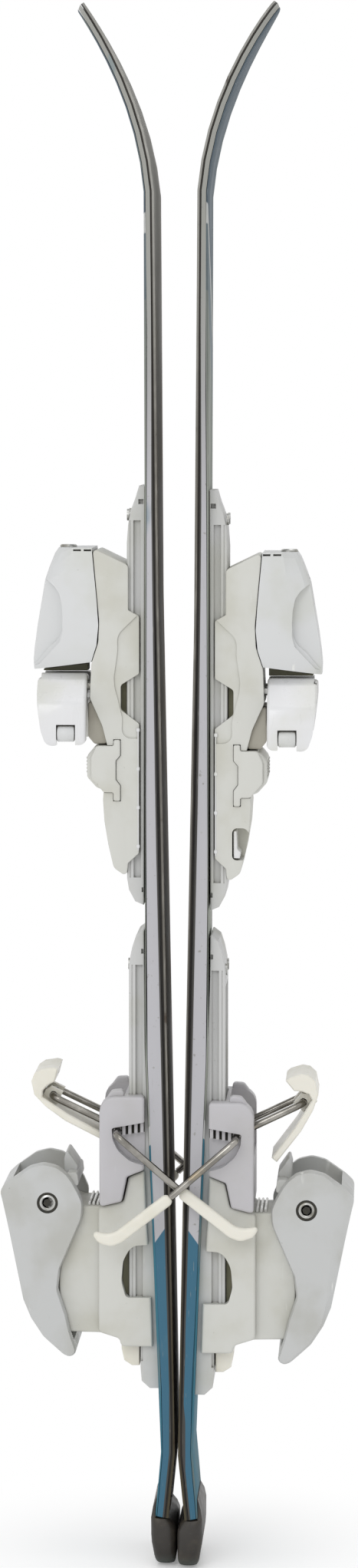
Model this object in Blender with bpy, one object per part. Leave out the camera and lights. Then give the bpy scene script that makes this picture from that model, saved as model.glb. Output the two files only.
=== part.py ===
"""Pair of children's alpine skis with step-in bindings, stood on their tails base to base.

Each ski is a laminate: sintered base, steel edge that wraps the tip, wood core with sidewalls,
topsheet and a rubber tail protector. A front and a rear rail are screwed to it. The toe unit
clamps the boot between two sprung wings, and the heel unit carries the ski brake, a wire with
plastic tips that hooks round the other ski, and the step-in heel piece.

All sizes are millimetres in one ski's own frame: x outwards from the middle of the pair, y
across the ski, z up from the ski's tail. The left ski is the right one turned half round.
"""
from math import cos, hypot, pi, radians, sin, sqrt, tan

import bmesh
import bpy
from mathutils import Matrix, Vector

MM = 0.001
GAP = 0.3  # running and seating clearance between touching pieces

# The pair
SIDE_STEP = 2.8  # each ski is set this far to its own side, so that the brakes pass each other
BINDING_DROP = 2.5  # the right ski's binding sits this much lower than the left one's
FOOT = 10.0  # how far the tail protector reaches below the ski's own tail

# Ski
SKI_LENGTH = 900.0
TIP_CURVE_START = 775.0
TIP_RISE = 0.00277  # how fast the tip curls up, per millimetre
TIP_ROUND_LENGTH = 110.0
TIP_HALF = 44.0
WAIST_HALF = 32.0
WAIST_Z = 400.0
TAIL_HALF = 35.0
TAIL_WIDEST_Z = 70.0
CONTACT_Z = 75.0  # where the two bases meet, above the turned-up tails
CONTACT_X = 0.3
CAMBER = 2.7
SPREAD = 11.6
TAIL_RISE = 7.5
PROTECTOR_HEIGHT = 19.3
EDGE_WIDTH = 2.2
EDGE_HEIGHT = 2.1
BASE_THICKNESS = 1.4
TOPSHEET_THICKNESS = 0.8
SIDEWALL_LEAN = 1.2
THICKNESSES = (
    (0, 7.4), (60, 8.3), (145, 9.9), (290, 12.0), (372, 11.3), (480, 9.1), (600, 7.4), (700, 6.3),
    (SKI_LENGTH, 5.8),
)

# Rails: a head over a narrower neck, which the units' lips run under
RAIL_HALF = 25.0
RAIL_NECK_HALF = 22.0
RAIL_HEAD = 3.8
RAIL_NECK = 4.2
RAIL_ENDS = (16.0, 20.0)  # length of the rail's full-height lower and upper ends, beyond the neck
FRONT_FACE = 29.2
FRONT_RAIL = (379.0, 622.0)
REAR_FACE = 28.2
REAR_RAIL = (94.7, 364.0)
REAR_TROUGH_DEPTH = 6.6
RACK_PITCH = 4.0
RACK_DEPTH = 1.0

# Toe unit, measured from the front rail's face and from the wing pins
TOE_Z = 506.0
CHASSIS_HALF = 28.0
PIN_SPACING_HALF = 19.0
PIN_RADIUS = 2.5
PIN_FOOT = 10.8  # how deep in the chassis the wing pins end
PIN_STEPS = 14
WING_LOW = 23.1
WING_HIGH = 51.9
WING_STEP = 49.8
BRIDGE_THICKNESS = 1.5
ROLLER_RADIUS = 4.2
ROLLER_LENGTH = 10.0
ROLLER_AT = (35.4, -26.6)
TRUNNION_RADIUS = 1.5
AFD_HALF = 30.0
HOUSING_HALF = 28.5
BORE_OUT = 35.3  # the spring bore's axis above the rail's face
BORE_RADIUS = 8.6
PLUNGER_RADIUS = 8.2
PLUNGER_NOSE = 10.0
PLUNGER_LENGTH = 10.5
NUT_Z = 59.5
NUT_THICKNESS = 5.5
NUT_TRAVEL = 8.1
TAB_HALF = 2.6
SCREW_RADIUS = 2.7
SCREW_HEAD_RADIUS = 5.0
SCREW_HEAD_HEIGHT = 5.2
SCREW_SEAT = 76.0
TOE_SPRING_RADIUS = 6.7
TOE_SPRING_WIRE = 1.1
TOE_SPRING_CURLS = 6.5
TOE_LEVER = (-27.0, -6.0)

# Heel unit, measured from the rear rail's face and from the heel piece's pivot
HEEL_Z = 204.8
PIVOT_OUT = 47.4
HEEL_TRAVEL_UP = 32.0
CARRIAGE_HALF = 29.5
TOWER_HALF = 23.7
BOSS_RADIUS = 7.5
BOLT_RADIUS = 3.2
BOLT_HEAD_RADIUS = 4.4
BOLT_HEAD_HEIGHT = 1.8
RING_RADIUS = 6.2
HEEL_HALF = 31.0
CUP_CLEARANCE = 0.5
HEEL_SPRING_RADIUS = 5.2
HEEL_SPRING_WIRE = 1.0
HEEL_SPRING_CURLS = 7.5
HEEL_BORE_RADIUS = 6.8
LOCK_HALF = 19.5
BRAKE_HOUSING_HALF = 35.0
BRAKE_SLOT_HALF = 23.5
RECESS_FLOOR = 26.0  # the flank recess's floor, from the middle of the ski

# Brake, measured from its axle
AXLE = (6.4, 42.2)  # from the rail's face and from the heel pivot
WIRE_RADIUS = 2.1
SPIGOT_RADIUS = 1.3
ARM_PLANE = 45.8
ARM_LENGTH = 71.0
ARM_ANGLE = 220.9  # degrees from the outward direction, over the tip
LEG_PLANE = 17.0
LEG_LENGTH = 42.8
LEG_ANGLE = 25.5
BEND_RADIUS = 4.5
TIP_START = 49.5
TIP_THICKNESS_HALF = 2.5
PEDAL_HALF = 21.0
HOOK_WIDTH = 5.0
PEDAL_SWING = 25.0  # the right pedal has swung back this far on its crossbar

ROUND_STEPS = 20
SMOOTH_ANGLE = radians(32)


def clear_scene():
    for item in list(bpy.data.objects):
        bpy.data.objects.remove(item)


# Forms


def solid(bm):
    """Object of a finished bmesh, with its faces turned outwards."""
    bmesh.ops.recalc_face_normals(bm, faces=bm.faces)
    mesh = bpy.data.meshes.new("form")
    bm.to_mesh(mesh)
    bm.free()
    form = bpy.data.objects.new("form", mesh)
    bpy.context.scene.collection.objects.link(form)
    return form


def loft(rows):
    """Closed solid through rings of points, each ring with as many points as the next."""
    bm = bmesh.new()
    rings = [[bm.verts.new(Vector(point) * MM) for point in row] for row in rows]
    count = len(rings[0])
    for ring, following in zip(rings, rings[1:]):
        for i in range(count):
            j = (i + 1) % count
            bm.faces.new((ring[i], ring[j], following[j], following[i]))
    bm.faces.new(rings[0])
    bm.faces.new(rings[-1])
    return solid(bm)


def prism(outline, low, high, across="y", chamfer=0.0):
    """Outline carried straight along one axis, with both its rims chamfered."""
    bm = bmesh.new()
    places = {
        "x": lambda a, b, t: (t, a, b),
        "y": lambda a, b, t: (a, t, b),
        "z": lambda a, b, t: (a, b, t),
    }
    place = places[across]
    rims = []
    for level in (low, high):
        rims.append([bm.verts.new(Vector(place(a, b, level)) * MM) for a, b in outline])
    ends = [bm.faces.new(rim) for rim in rims]
    for i in range(len(outline)):
        j = (i + 1) % len(outline)
        bm.faces.new((rims[0][i], rims[0][j], rims[1][j], rims[1][i]))
    bmesh.ops.recalc_face_normals(bm, faces=bm.faces)
    if chamfer:
        edges = [edge for end in ends for edge in end.edges]
        bmesh.ops.bevel(bm, geom=edges, offset=chamfer * MM, segments=1, affect="EDGES", clamp_overlap=True)
    return solid(bm)


def box(x, y, z):
    """Block between two limits on each axis."""
    return prism(((x[0], z[0]), (x[1], z[0]), (x[1], z[1]), (x[0], z[1])), y[0], y[1])


def turned(profile, start, direction, steps=ROUND_STEPS):
    """Solid of revolution: radius and distance along the axis, from one end to the other."""
    axis = Vector(direction).normalized()
    side = axis.orthogonal().normalized()
    up = axis.cross(side)
    rows = []
    for radius, along in profile:
        middle = Vector(start) + axis * along
        turn = [2 * pi * i / steps for i in range(steps)]
        rows.append([middle + (side * cos(a) + up * sin(a)) * radius for a in turn])
    return loft(rows)


def rod(start, end, radius, steps=ROUND_STEPS):
    """Round bar from one point to another."""
    span = Vector(end) - Vector(start)
    return turned(((radius, 0), (radius, span.length)), start, span, steps)


def tube(points, radii, resolution=1):
    """Wire along a path, as a curve with a round bevel and closed ends."""
    curve = bpy.data.curves.new("path", "CURVE")
    curve.dimensions = "3D"
    curve.bevel_depth = MM
    curve.bevel_resolution = resolution
    curve.use_fill_caps = True
    spline = curve.splines.new("POLY")
    spline.points.add(len(points) - 1)
    for knot, point, radius in zip(spline.points, points, radii):
        knot.co = (*(Vector(point) * MM), 1)
        knot.radius = radius
    path = bpy.data.objects.new("path", curve)
    bpy.context.scene.collection.objects.link(path)
    mesh = evaluated(path)
    bpy.data.objects.remove(path)
    bm = bmesh.new()
    bm.from_mesh(mesh)
    bmesh.ops.remove_doubles(bm, verts=bm.verts, dist=1e-7)
    return solid(bm)


def evaluated(form):
    """Mesh of an object with its modifiers applied."""
    return bpy.data.meshes.new_from_object(form.evaluated_get(bpy.context.evaluated_depsgraph_get()))


def boolean(form, others, operation):
    for other in others:
        step = form.modifiers.new(operation.lower(), "BOOLEAN")
        step.operation = operation
        step.object = other
    form.data = evaluated(form)
    form.modifiers.clear()
    for other in others:
        bpy.data.objects.remove(other)
    return form


def carve(form, *cutters):
    return boolean(form, cutters, "DIFFERENCE")


def join(form, *others):
    return boolean(form, others, "UNION")


def mirrored(form):
    """Copy of a form on the other side of the ski."""
    mesh = form.data.copy()
    mesh.transform(Matrix.Scale(-1, 4, (0, 1, 0)))
    mesh.flip_normals()
    other = bpy.data.objects.new("form", mesh)
    bpy.context.scene.collection.objects.link(other)
    return other


# Outlines


def arc(centre, radius, start, end, steps=6):
    """Points on a circle between two angles in degrees."""
    angles = [radians(start + (end - start) * i / steps) for i in range(steps + 1)]
    return [(centre[0] + radius * cos(a), centre[1] + radius * sin(a)) for a in angles]


def rounded(corners, steps=3):
    """Outline whose corners with a third value become arcs of that radius."""
    points = []
    for i, corner in enumerate(corners):
        if len(corner) == 2:
            points.append(tuple(corner))
            continue
        here = Vector(corner[:2])
        back = (Vector(corners[i - 1][:2]) - here).normalized()
        ahead = (Vector(corners[(i + 1) % len(corners)][:2]) - here).normalized()
        half = back.angle(ahead) / 2
        centre = here + (back + ahead).normalized() * corner[2] / sin(half)
        first = here + back * corner[2] / tan(half) - centre
        last = here + ahead * corner[2] / tan(half) - centre
        sweep = pi - 2 * half
        for k in range(steps + 1):
            share = k / steps
            spoke = (first * sin((1 - share) * sweep) + last * sin(share * sweep)) / sin(sweep)
            points.append(tuple(centre + spoke))
    return points


def grown(outline, distance):
    """Outline moved outwards by a clearance."""
    points = []
    count = len(outline)
    pairs = [(outline[i - 1], outline[i]) for i in range(count)]
    area = sum(a[0] * b[1] - b[0] * a[1] for a, b in pairs)
    turn = 1 if area > 0 else -1
    for i in range(count):
        here = Vector(outline[i])
        ahead = (Vector(outline[(i + 1) % count]) - here).normalized()
        back = (here - Vector(outline[i - 1])).normalized()
        out_ahead = Vector((ahead.y, -ahead.x)) * turn
        out_back = Vector((back.y, -back.x)) * turn
        middle = (out_ahead + out_back).normalized()
        points.append(tuple(here + middle * distance / max(0.4, middle.dot(out_ahead))))
    return points


def on_toe(outline):
    """Outline given from the front rail's face and the wing pins, in the ski's frame."""
    return [(x + FRONT_FACE, z + TOE_Z) for x, z in outline]


def on_heel(outline):
    """Outline given from the rear rail's face and the heel pivot, in the ski's frame."""
    return [(x + REAR_FACE, z + HEEL_Z) for x, z in outline]


def from_pivot(outline):
    """Outline given from the heel pivot itself, in the ski's frame."""
    return [(x + REAR_FACE + PIVOT_OUT, z + HEEL_Z) for x, z in outline]


# Ski body


def base_x(z):
    """How far the running surface stands from the middle of the pair."""
    if z < CONTACT_Z:
        return CONTACT_X + TAIL_RISE * ((CONTACT_Z - z) / CONTACT_Z) ** 1.6
    share = min(1.0, (z - CONTACT_Z) / (TIP_CURVE_START - CONTACT_Z))
    x = CONTACT_X + SPREAD * share + CAMBER * (1 - (2 * share - 1) ** 2)
    return x + TIP_RISE * max(0.0, z - TIP_CURVE_START) ** 2


def thickness(z):
    """Ski's thickness, a smooth curve through its stations."""
    spots = [spot for spot, _ in THICKNESSES]
    i = max(k for k in range(len(spots) - 1) if spots[k] <= z or k == 0)
    low, high = THICKNESSES[i], THICKNESSES[i + 1]
    before = THICKNESSES[max(0, i - 1)]
    after = THICKNESSES[min(len(spots) - 1, i + 2)]
    width = high[0] - low[0]
    share = (z - low[0]) / width
    slope_low = (high[1] - before[1]) / (high[0] - before[0]) * width
    slope_high = (after[1] - low[1]) / (after[0] - low[0]) * width
    ends = low[1] * (1 + 2 * share) * (1 - share) ** 2 + high[1] * share**2 * (3 - 2 * share)
    return ends + slope_low * share * (1 - share) ** 2 - slope_high * share**2 * (1 - share)


def half_width(z):
    if z >= WAIST_Z:
        reach = SKI_LENGTH - TIP_ROUND_LENGTH - WAIST_Z
        return WAIST_HALF + (TIP_HALF - WAIST_HALF) * ((z - WAIST_Z) / reach) ** 2
    reach = WAIST_Z - TAIL_WIDEST_Z
    if z < TAIL_WIDEST_Z:
        return TAIL_HALF - (TAIL_WIDEST_Z - z) / 50
    return WAIST_HALF + (TAIL_HALF - WAIST_HALF) * ((WAIST_Z - z) / reach) ** 2


def skin_point(z, y, depth):
    """Point of the ski at a height up the base curve and a depth from the base."""
    slope = base_x(z + 0.5) - base_x(z - 0.5)
    length = hypot(1, slope)
    return (base_x(z) + depth / length, y, z - depth * slope / length)


def topsheet_x(z):
    slope = base_x(z + 0.5) - base_x(z - 0.5)
    return base_x(z) + thickness(z) * hypot(1, slope)


def stations():
    """Heights of the ski's cross-sections, then the angles of those round the tip."""
    tail = PROTECTOR_HEIGHT + GAP
    tip = SKI_LENGTH - TIP_ROUND_LENGTH
    steps = 20
    heights = [(tail + (tip - tail) * (i / steps), 0.0) for i in range(steps + 1)]
    return heights + [(tip, radians(angle)) for angle in (9, 18, 27, 36, 45, 54, 63, 71, 78, 84, 88)]


def rim(station, inset):
    """Height and half-width of the ski's outline, drawn in by a distance."""
    z, angle = station
    if angle == 0.0:
        return z, half_width(z) - inset
    across = TIP_ROUND_LENGTH * cos(angle)
    along = TIP_HALF * sin(angle)
    size = hypot(across, along)
    height = z + TIP_ROUND_LENGTH * sin(angle) - inset * along / size
    return height, TIP_HALF * cos(angle) - inset * across / size


def layer(section):
    """Lamination from tail to tip; section gives (inset, depth) pairs for one side, base first."""
    rows = []
    for station in stations():
        side = []
        for inset, depth in section(rim(station, 0)[0]):
            z, half = rim(station, inset)
            side.append((z, half, depth))
        ring = [skin_point(z, half, depth) for z, half, depth in side]
        ring += [skin_point(z, -half, depth) for z, half, depth in reversed(side)]
        rows.append(ring)
    return loft(rows)


def ski_base():
    inset = EDGE_WIDTH + GAP
    return layer(lambda z: ((inset, 0), (inset, BASE_THICKNESS)))


def steel_edge():
    """Steel strip set into the base's rim from tail to tail, round the tip."""
    corners = ((0, 0), (0, EDGE_HEIGHT), (EDGE_WIDTH, EDGE_HEIGHT), (EDGE_WIDTH, 0))
    path = [(station, 1) for station in stations()]
    path.append(((SKI_LENGTH - TIP_ROUND_LENGTH, pi / 2), 1))
    path += [(station, -1) for station in reversed(stations())]
    rows = []
    for station, side in path:
        row = []
        for inset, depth in corners:
            z, half = rim(station, inset)
            row.append(skin_point(z, side * half, depth))
        rows.append(row)
    return loft(rows)


def core():
    step = EDGE_WIDTH + GAP
    over_base = BASE_THICKNESS + GAP
    over_edge = EDGE_HEIGHT + GAP

    def section(z):
        top = thickness(z) - TOPSHEET_THICKNESS - GAP
        return ((step, over_base), (step, over_edge), (0, over_edge), (SIDEWALL_LEAN, top))

    return layer(section)


def topsheet():
    def section(z):
        low = thickness(z) - TOPSHEET_THICKNESS
        middle = low + TOPSHEET_THICKNESS / 2
        return ((SIDEWALL_LEAN, low), (SIDEWALL_LEAN + 0.4, middle), (2 * SIDEWALL_LEAN, thickness(z)))

    return layer(section)


def tail_protector():
    """Rubber block round the tail, with a rounded foot and the flat that the ski stands on."""
    top = PROTECTOR_HEIGHT + GAP
    inner = skin_point(top, 0, 0)
    outer = skin_point(top, 0, thickness(top))
    half = half_width(top)
    foot_edge = CONTACT_X + 0.15
    rows = []
    for z, low, high, narrower in (
        (-FOOT, 2.6, 10.6, 12.0),
        (-FOOT + 1.5, 1.4, 11.9, 7.0),
        (-FOOT + 4, 0.8, 12.9, 3.6),
        (-FOOT + 8, foot_edge, 13.5, 1.2),
        (3, foot_edge, 14.2, 0.2),
        (9, foot_edge, 15.3, -0.4),
        (14, 0.9, 14.6, -0.4),
    ):
        near, far = -half + narrower, half - narrower
        rows.append([(low, near, z), (high, near, z), (high, far, z), (low, far, z)])
    ends = ((inner[0], inner[2] - GAP), (outer[0], outer[2] - GAP))
    corners = zip((ends[0], ends[1], ends[1], ends[0]), (-1, -1, 1, 1))
    rows.append([(x, side * half, z) for (x, z), side in corners])
    return loft(rows)


# Rails


def rail(limits, face, upper_end, lower_end):
    """Moulded rail: flat head, undercut neck and a foot that follows the topsheet."""
    low, high = limits
    outline = [(face + x, high + z) for x, z in upper_end]
    outline += [(face + x, low + z) for x, z in lower_end]
    steps = 8
    outline += [
        (topsheet_x(z) + GAP, z) for z in (low + (high - low) * i / steps for i in range(steps + 1))
    ]
    body = prism(outline, -RAIL_HALF, RAIL_HALF, chamfer=0.5)
    neck_x = (face - RAIL_HEAD - RAIL_NECK, face - RAIL_HEAD)
    neck_z = (low + RAIL_ENDS[0], high - RAIL_ENDS[1])
    return carve(
        body,
        box(neck_x, (RAIL_NECK_HALF, RAIL_HALF + 1), neck_z),
        box(neck_x, (-RAIL_HALF - 1, -RAIL_NECK_HALF), neck_z),
    )


def rack(floor, first, count, half):
    """Cutter for a row of locking notches across the rail."""
    comb = [(floor + 2, first - 1), (floor, first - 1)]
    deep = floor - RACK_DEPTH
    for i in range(count):
        z = first + i * RACK_PITCH
        end = z + RACK_PITCH / 2
        comb += [(floor, z), (deep, z), (deep, end), (floor, end)]
    comb += [(floor, first + count * RACK_PITCH), (floor + 2, first + count * RACK_PITCH)]
    return prism(comb, -half, half)


def front_rail():
    upper = ((-7.1, 0), (-5, -7), (-2.2, -14.5), (-0.8, -22), (0, -33))
    lower = ((0, 15.5), (-1.1, 8.8), (-4.7, 2.1))
    body = rail(FRONT_RAIL, FRONT_FACE, upper, lower)
    return carve(body, rack(FRONT_FACE, FRONT_RAIL[0] + 19, 12, 8))


def rear_rail():
    upper = ((-8, 0), (-4.1, -3), (-1.9, -9.7), (-0.5, -16.5), (0, -22))
    lower = ((0, 29.3), (-REAR_TROUGH_DEPTH, 26.3), (-REAR_TROUGH_DEPTH, 12.3), (-7.3, 4.3), (-12, 0))
    body = rail(REAR_RAIL, REAR_FACE, upper, lower)
    floor = REAR_FACE - REAR_TROUGH_DEPTH
    half = LOCK_HALF + GAP
    trough = box((floor, REAR_FACE + 1), (-half, half), (REAR_RAIL[0] + 20, REAR_RAIL[1] - 30))
    return carve(body, trough, rack(floor, REAR_RAIL[0] + 32, 20, 6))


def rail_channel(face, limits):
    """Cutter that leaves a unit's lips round the rail, with the running clearance."""
    foot = RAIL_HALF + 0.8
    neck = RAIL_NECK_HALF + GAP
    head = RAIL_HALF + GAP
    foot_x = face - RAIL_HEAD - RAIL_NECK + GAP
    neck_x = face - RAIL_HEAD - GAP
    side = [
        (-5, foot), (foot_x, foot), (foot_x, neck), (neck_x, neck), (neck_x, head), (face + GAP, head),
    ]
    outline = side + [(x, -y) for x, y in reversed(side)]
    return prism(outline, limits[0] - 30, limits[1] + 30, across="z")


# Toe unit

SEAM = ((20.5, 13), (16.5, 25.8), (16, 38.2), (19.9, 80))
AFD_OUTLINE = (
    (3.7, -66.1), (7.6, -66.1), (7.6, -61.2), (13.5, -61.2), (17.7, -58.5), (22.3, -53.9), (23, -51),
    (23, -40), (19, -35.4), (14.8, -34.2), (7.5, -34.2), (7.5, -30.7), (3.7, -30.7), (3.7, -39.8),
    (6.3, -42.8), (6.3, -53.8), (3.7, -57.2),
)
TOE_LEVER_OUTLINE = ((3.7, -96.5), (7.3, -96.5), (7.8, -93), (5.8, -91), (5.4, -80.5), (3.7, -80.5))


def toe_chassis():
    """Moulded base of the toe unit, which slides on the front rail."""
    outline = [
        (0.2, -111.4), (8.2, -104.7), (10.8, -91.3), (13, -78), (13.8, -65.5), (11.2, -34.3),
        (14.3, -22.3), (21.4, -6.7), *SEAM, (18.6, 80.6), (0.2, 71.2), (-0.9, 68.7), (-0.9, 44.3),
        (-7.1, 40.8), (-7.1, 7.5), (3.6, 0.9), (3.6, -13.4), (-7.1, -21.5), (-7.1, -96.6),
        (-0.7, -102.4), (-0.3, -107.8),
    ]
    body = prism(on_toe(outline), -CHASSIS_HALF, CHASSIS_HALF, chamfer=0.8)
    window = rounded([(2.9, -97.5, 1.5), (12.6, -97.5, 3), (12.6, -78.8, 3), (2.9, -78.8, 1.5)])
    cuts = [
        rail_channel(FRONT_FACE, FRONT_RAIL),
        prism(grown(on_toe(AFD_OUTLINE), GAP), -CHASSIS_HALF - 2, CHASSIS_HALF + 2),
        prism(on_toe(window), -CHASSIS_HALF - 1, TOE_LEVER[1] + 2),
    ]
    for y in (-PIN_SPACING_HALF, PIN_SPACING_HALF):
        low, high = (FRONT_FACE + PIN_FOOT - GAP, y, TOE_Z), (FRONT_FACE + WING_LOW + 2, y, TOE_Z)
        cuts.append(rod(low, high, PIN_RADIUS + GAP, PIN_STEPS))
    return carve(body, *cuts)


def housing_row(z, low, high, half_low, half_high, tilt=0.0):
    """Ring of the toe housing at one height: broad on the chassis, narrower outside."""
    side = [
        (low, half_low),
        (low + 0.55 * (high - low), half_low - 0.25 * (half_low - half_high)),
        (high - 3.5, half_high + 1.2),
        (high - 0.8, half_high - 1.6),
        (high, half_high - 6),
    ]
    ring = [(x, y, z + tilt * (high - x)) for x, y in side]
    return ring + [(x, -y, level) for x, y, level in reversed(ring)]


def toe_housing():
    """Cover of the toe unit, which holds the release spring's bore."""
    seam = [(x + GAP, z) for x, z in SEAM]
    levels = (
        (80, 40.2, 0.0, 19.0, 0.0),
        (77, 42.2, 0.0, 20.5, 0.0),
        (68.7, 45.5, 0.0, 21.5, 0.0),
        (62, 47.8, 0.0, 22.0, 0.0),
        (48.7, 50, 0.0, 22.4, 0.0),
        (35.4, 52.3, 0.0, 22.6, 0.0),
        (22.1, 54.1, 0.0, 22.6, 0.05),
        (15.5, 54.7, 0.4, 22.4, 0.09),
        (9.7, 54.5, 2.0, 20.6, 0.13),
    )
    rows = []
    for z, high, narrower, half_high, tilt in levels:
        low = seam_x(seam, z + tilt * 30)
        rows.append(housing_row(z, low, high, HOUSING_HALF - narrower, half_high, tilt))
    rows = [[(x + FRONT_FACE, y, z + TOE_Z) for x, y, z in row] for row in rows]
    x = FRONT_FACE + BORE_OUT
    bore = rod(bore_point(0), bore_point(SCREW_SEAT - 2), BORE_RADIUS)
    hole = rod(bore_point(SCREW_SEAT - 4), bore_point(SCREW_SEAT + 4), SCREW_RADIUS + GAP, PIN_STEPS)
    sink = rod(bore_point(SCREW_SEAT), bore_point(SCREW_SEAT + 14), SCREW_HEAD_RADIUS + GAP, PIN_STEPS)
    slot_z = (TOE_Z + NUT_Z - NUT_TRAVEL - 2.4, TOE_Z + NUT_Z + NUT_THICKNESS + 2)
    slot = box((x, x + 25), (-TAB_HALF - GAP, TAB_HALF + GAP), slot_z)
    return carve(loft(rows), bore, hole, sink, slot, crescent(1), crescent(-1))


def seam_x(seam, z):
    """Where the housing's seam lies at one height."""
    for (x0, z0), (x1, z1) in zip(seam, seam[1:]):
        if z <= z1:
            return x0 + (x1 - x0) * (z - z0) / (z1 - z0)
    return seam[-1][0]


def crescent(side):
    """Cutter for the curved recess in the housing's flank, whose floor follows the flank."""
    outline = [(55, 64), (46, 61), (40.8, 54), (37.8, 45), (37.2, 32), (38.8, 26), (50.8, 13), (60, 10)]
    floor, lean = 24.2, 0.30
    rows = []
    for reach in (None, 45):
        row = []
        for x, z in outline:
            y = floor - lean * (x - 37) if reach is None else reach
            row.append((x + FRONT_FACE, side * y, z + TOE_Z))
        rows.append(row)
    return loft(rows)


def toe_wing():
    """Sprung wing that holds the boot's toe, on the +y side."""
    plan = [(2.2, -8.2), (2.2, 2), (10, 7)]
    plan += arc((PIN_SPACING_HALF, 0), 7.6, 90, 40, 4)
    plan += [(34, -4), (38.5, -12), (39.5, -22), (39.5, -30), (38, -33.7), (33, -34)]
    plan += arc((0, -40), 31.3, 15, 86, 8)
    plan = [(y, z + TOE_Z) for y, z in plan]
    levels = (FRONT_FACE + WING_LOW, FRONT_FACE + WING_HIGH)
    body = prism(plan, *levels, across="x", chamfer=0.9)
    top = ((60, -45), (60, 20), (52.6, 20), (52.0, -4.2), (50.7, -17.5), (48.5, -30.8), (47.8, -45))
    step = box((FRONT_FACE + WING_STEP, FRONT_FACE + 60), (-2, 24.5), (TOE_Z - 50, TOE_Z + 20))
    y, z = ROLLER_AT[0], TOE_Z + ROLLER_AT[1]
    low = FRONT_FACE + roller_low()
    high = low + ROLLER_LENGTH
    reach = ROLLER_RADIUS + 1.0
    pocket = box((low - GAP, high + GAP), (y - reach, y + reach + 5), (z - reach, z + reach))
    foot, head = (FRONT_FACE, PIN_SPACING_HALF, TOE_Z), (levels[1] + 8, PIN_SPACING_HALF, TOE_Z)
    pin = rod(foot, head, PIN_RADIUS + GAP, PIN_STEPS)
    trunnions = rod((low - 1.8, y, z), (high + 1.8, y, z), TRUNNION_RADIUS + GAP, 10)
    return carve(body, prism(on_toe(top), -5, 60), step, pocket, pin, trunnions)


def roller_low():
    """Inner end of a roller's tread above the rail's face."""
    return (WING_LOW + WING_HIGH) / 2 - 2.8 - ROLLER_LENGTH / 2


def wing_roller():
    low = FRONT_FACE + roller_low()
    profile = (
        (TRUNNION_RADIUS, -1.5), (TRUNNION_RADIUS, 0), (ROLLER_RADIUS, 0), (ROLLER_RADIUS, ROLLER_LENGTH),
        (TRUNNION_RADIUS, ROLLER_LENGTH), (TRUNNION_RADIUS, ROLLER_LENGTH + 1.5),
    )
    return turned(profile, (low, 0, 0), (1, 0, 0), 14)


def wing_pin_bridge():
    """Plate over the wings, whose two legs are the wings' pins."""
    low = FRONT_FACE + WING_STEP + GAP
    half = PIN_SPACING_HALF + PIN_RADIUS
    plate = [(-half, -4, 2), (half, -4, 2), (half, 4, 2), (-half, 4, 2)]
    plate = [(y, z + TOE_Z) for y, z in rounded(plate, 2)]
    body = prism(plate, low, low + BRIDGE_THICKNESS, across="x")
    legs = []
    for y in (-PIN_SPACING_HALF, PIN_SPACING_HALF):
        foot, head = (FRONT_FACE + PIN_FOOT, y, TOE_Z), (low + BRIDGE_THICKNESS / 2, y, TOE_Z)
        legs.append(rod(foot, head, PIN_RADIUS, PIN_STEPS))
    return join(body, *legs)


def afd_slider():
    """Sliding pad under the toe of the boot."""
    return prism(on_toe(AFD_OUTLINE), -AFD_HALF, AFD_HALF, chamfer=0.6)


def bore_point(z):
    return (FRONT_FACE + BORE_OUT, 0, TOE_Z + z)


def toe_plunger():
    profile = ((PLUNGER_RADIUS - 2.4, 0), (PLUNGER_RADIUS, 2.4), (PLUNGER_RADIUS, PLUNGER_LENGTH))
    return turned(profile, bore_point(PLUNGER_NOSE), (0, 0, 1))


def toe_spring_nut():
    """Nut that loads the spring; its tab shows the setting in the housing's slot."""
    disc = turned(((PLUNGER_RADIUS, 0), (PLUNGER_RADIUS, NUT_THICKNESS)), bore_point(NUT_Z), (0, 0, 1))
    x = FRONT_FACE + BORE_OUT
    tab = box((x + 5, x + 12), (-TAB_HALF, TAB_HALF), (TOE_Z + NUT_Z, TOE_Z + NUT_Z + NUT_THICKNESS))
    hole = rod(bore_point(NUT_Z - 2), bore_point(NUT_Z + NUT_THICKNESS + 2), SCREW_RADIUS + GAP, 14)
    return carve(join(disc, tab), hole)


def toe_adjusting_screw():
    seat = SCREW_SEAT + GAP
    profile = (
        (SCREW_RADIUS - 0.8, 35), (SCREW_RADIUS, 35.8), (SCREW_RADIUS, seat),
        (SCREW_HEAD_RADIUS, seat), (SCREW_HEAD_RADIUS, seat + SCREW_HEAD_HEIGHT - 0.6),
        (SCREW_HEAD_RADIUS - 0.6, seat + SCREW_HEAD_HEIGHT),
    )
    head = turned(profile, bore_point(0), (0, 0, 1), 14)
    z = TOE_Z + seat + SCREW_HEAD_HEIGHT
    x = FRONT_FACE + BORE_OUT
    slot = box((x - SCREW_HEAD_RADIUS - 1, x + SCREW_HEAD_RADIUS + 1), (-0.6, 0.6), (z - 1.6, z + 1))
    return carve(head, slot)


def coil(start, direction, length, radius, wire, curls):
    """Compression spring of one unbroken wire, with its least gap to itself printed."""
    axis = Vector(direction).normalized()
    side = axis.orthogonal().normalized()
    up = axis.cross(side)
    count = int(9 * curls)
    points = []
    for i in range(count + 1):
        turn = 2 * pi * curls * i / count
        spoke = (side * cos(turn) + up * sin(turn)) * radius
        points.append(Vector(start) + axis * (length * i / count) + spoke)
    apart = [(a - b).length for i, a in enumerate(points) for b in points[i + 5:]]
    print("spring's least gap to itself, mm:", round(min(apart) - 2 * wire, 2))
    return tube(points, [wire] * len(points))


def toe_spring():
    low = PLUNGER_NOSE + PLUNGER_LENGTH + GAP + TOE_SPRING_WIRE
    high = NUT_Z - GAP - TOE_SPRING_WIRE
    return coil(bore_point(low), (0, 0, 1), high - low, TOE_SPRING_RADIUS, TOE_SPRING_WIRE, TOE_SPRING_CURLS)


def toe_lock_lever():
    return prism(on_toe(TOE_LEVER_OUTLINE), TOE_LEVER[0], TOE_LEVER[1], chamfer=0.4)


# Heel unit


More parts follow.
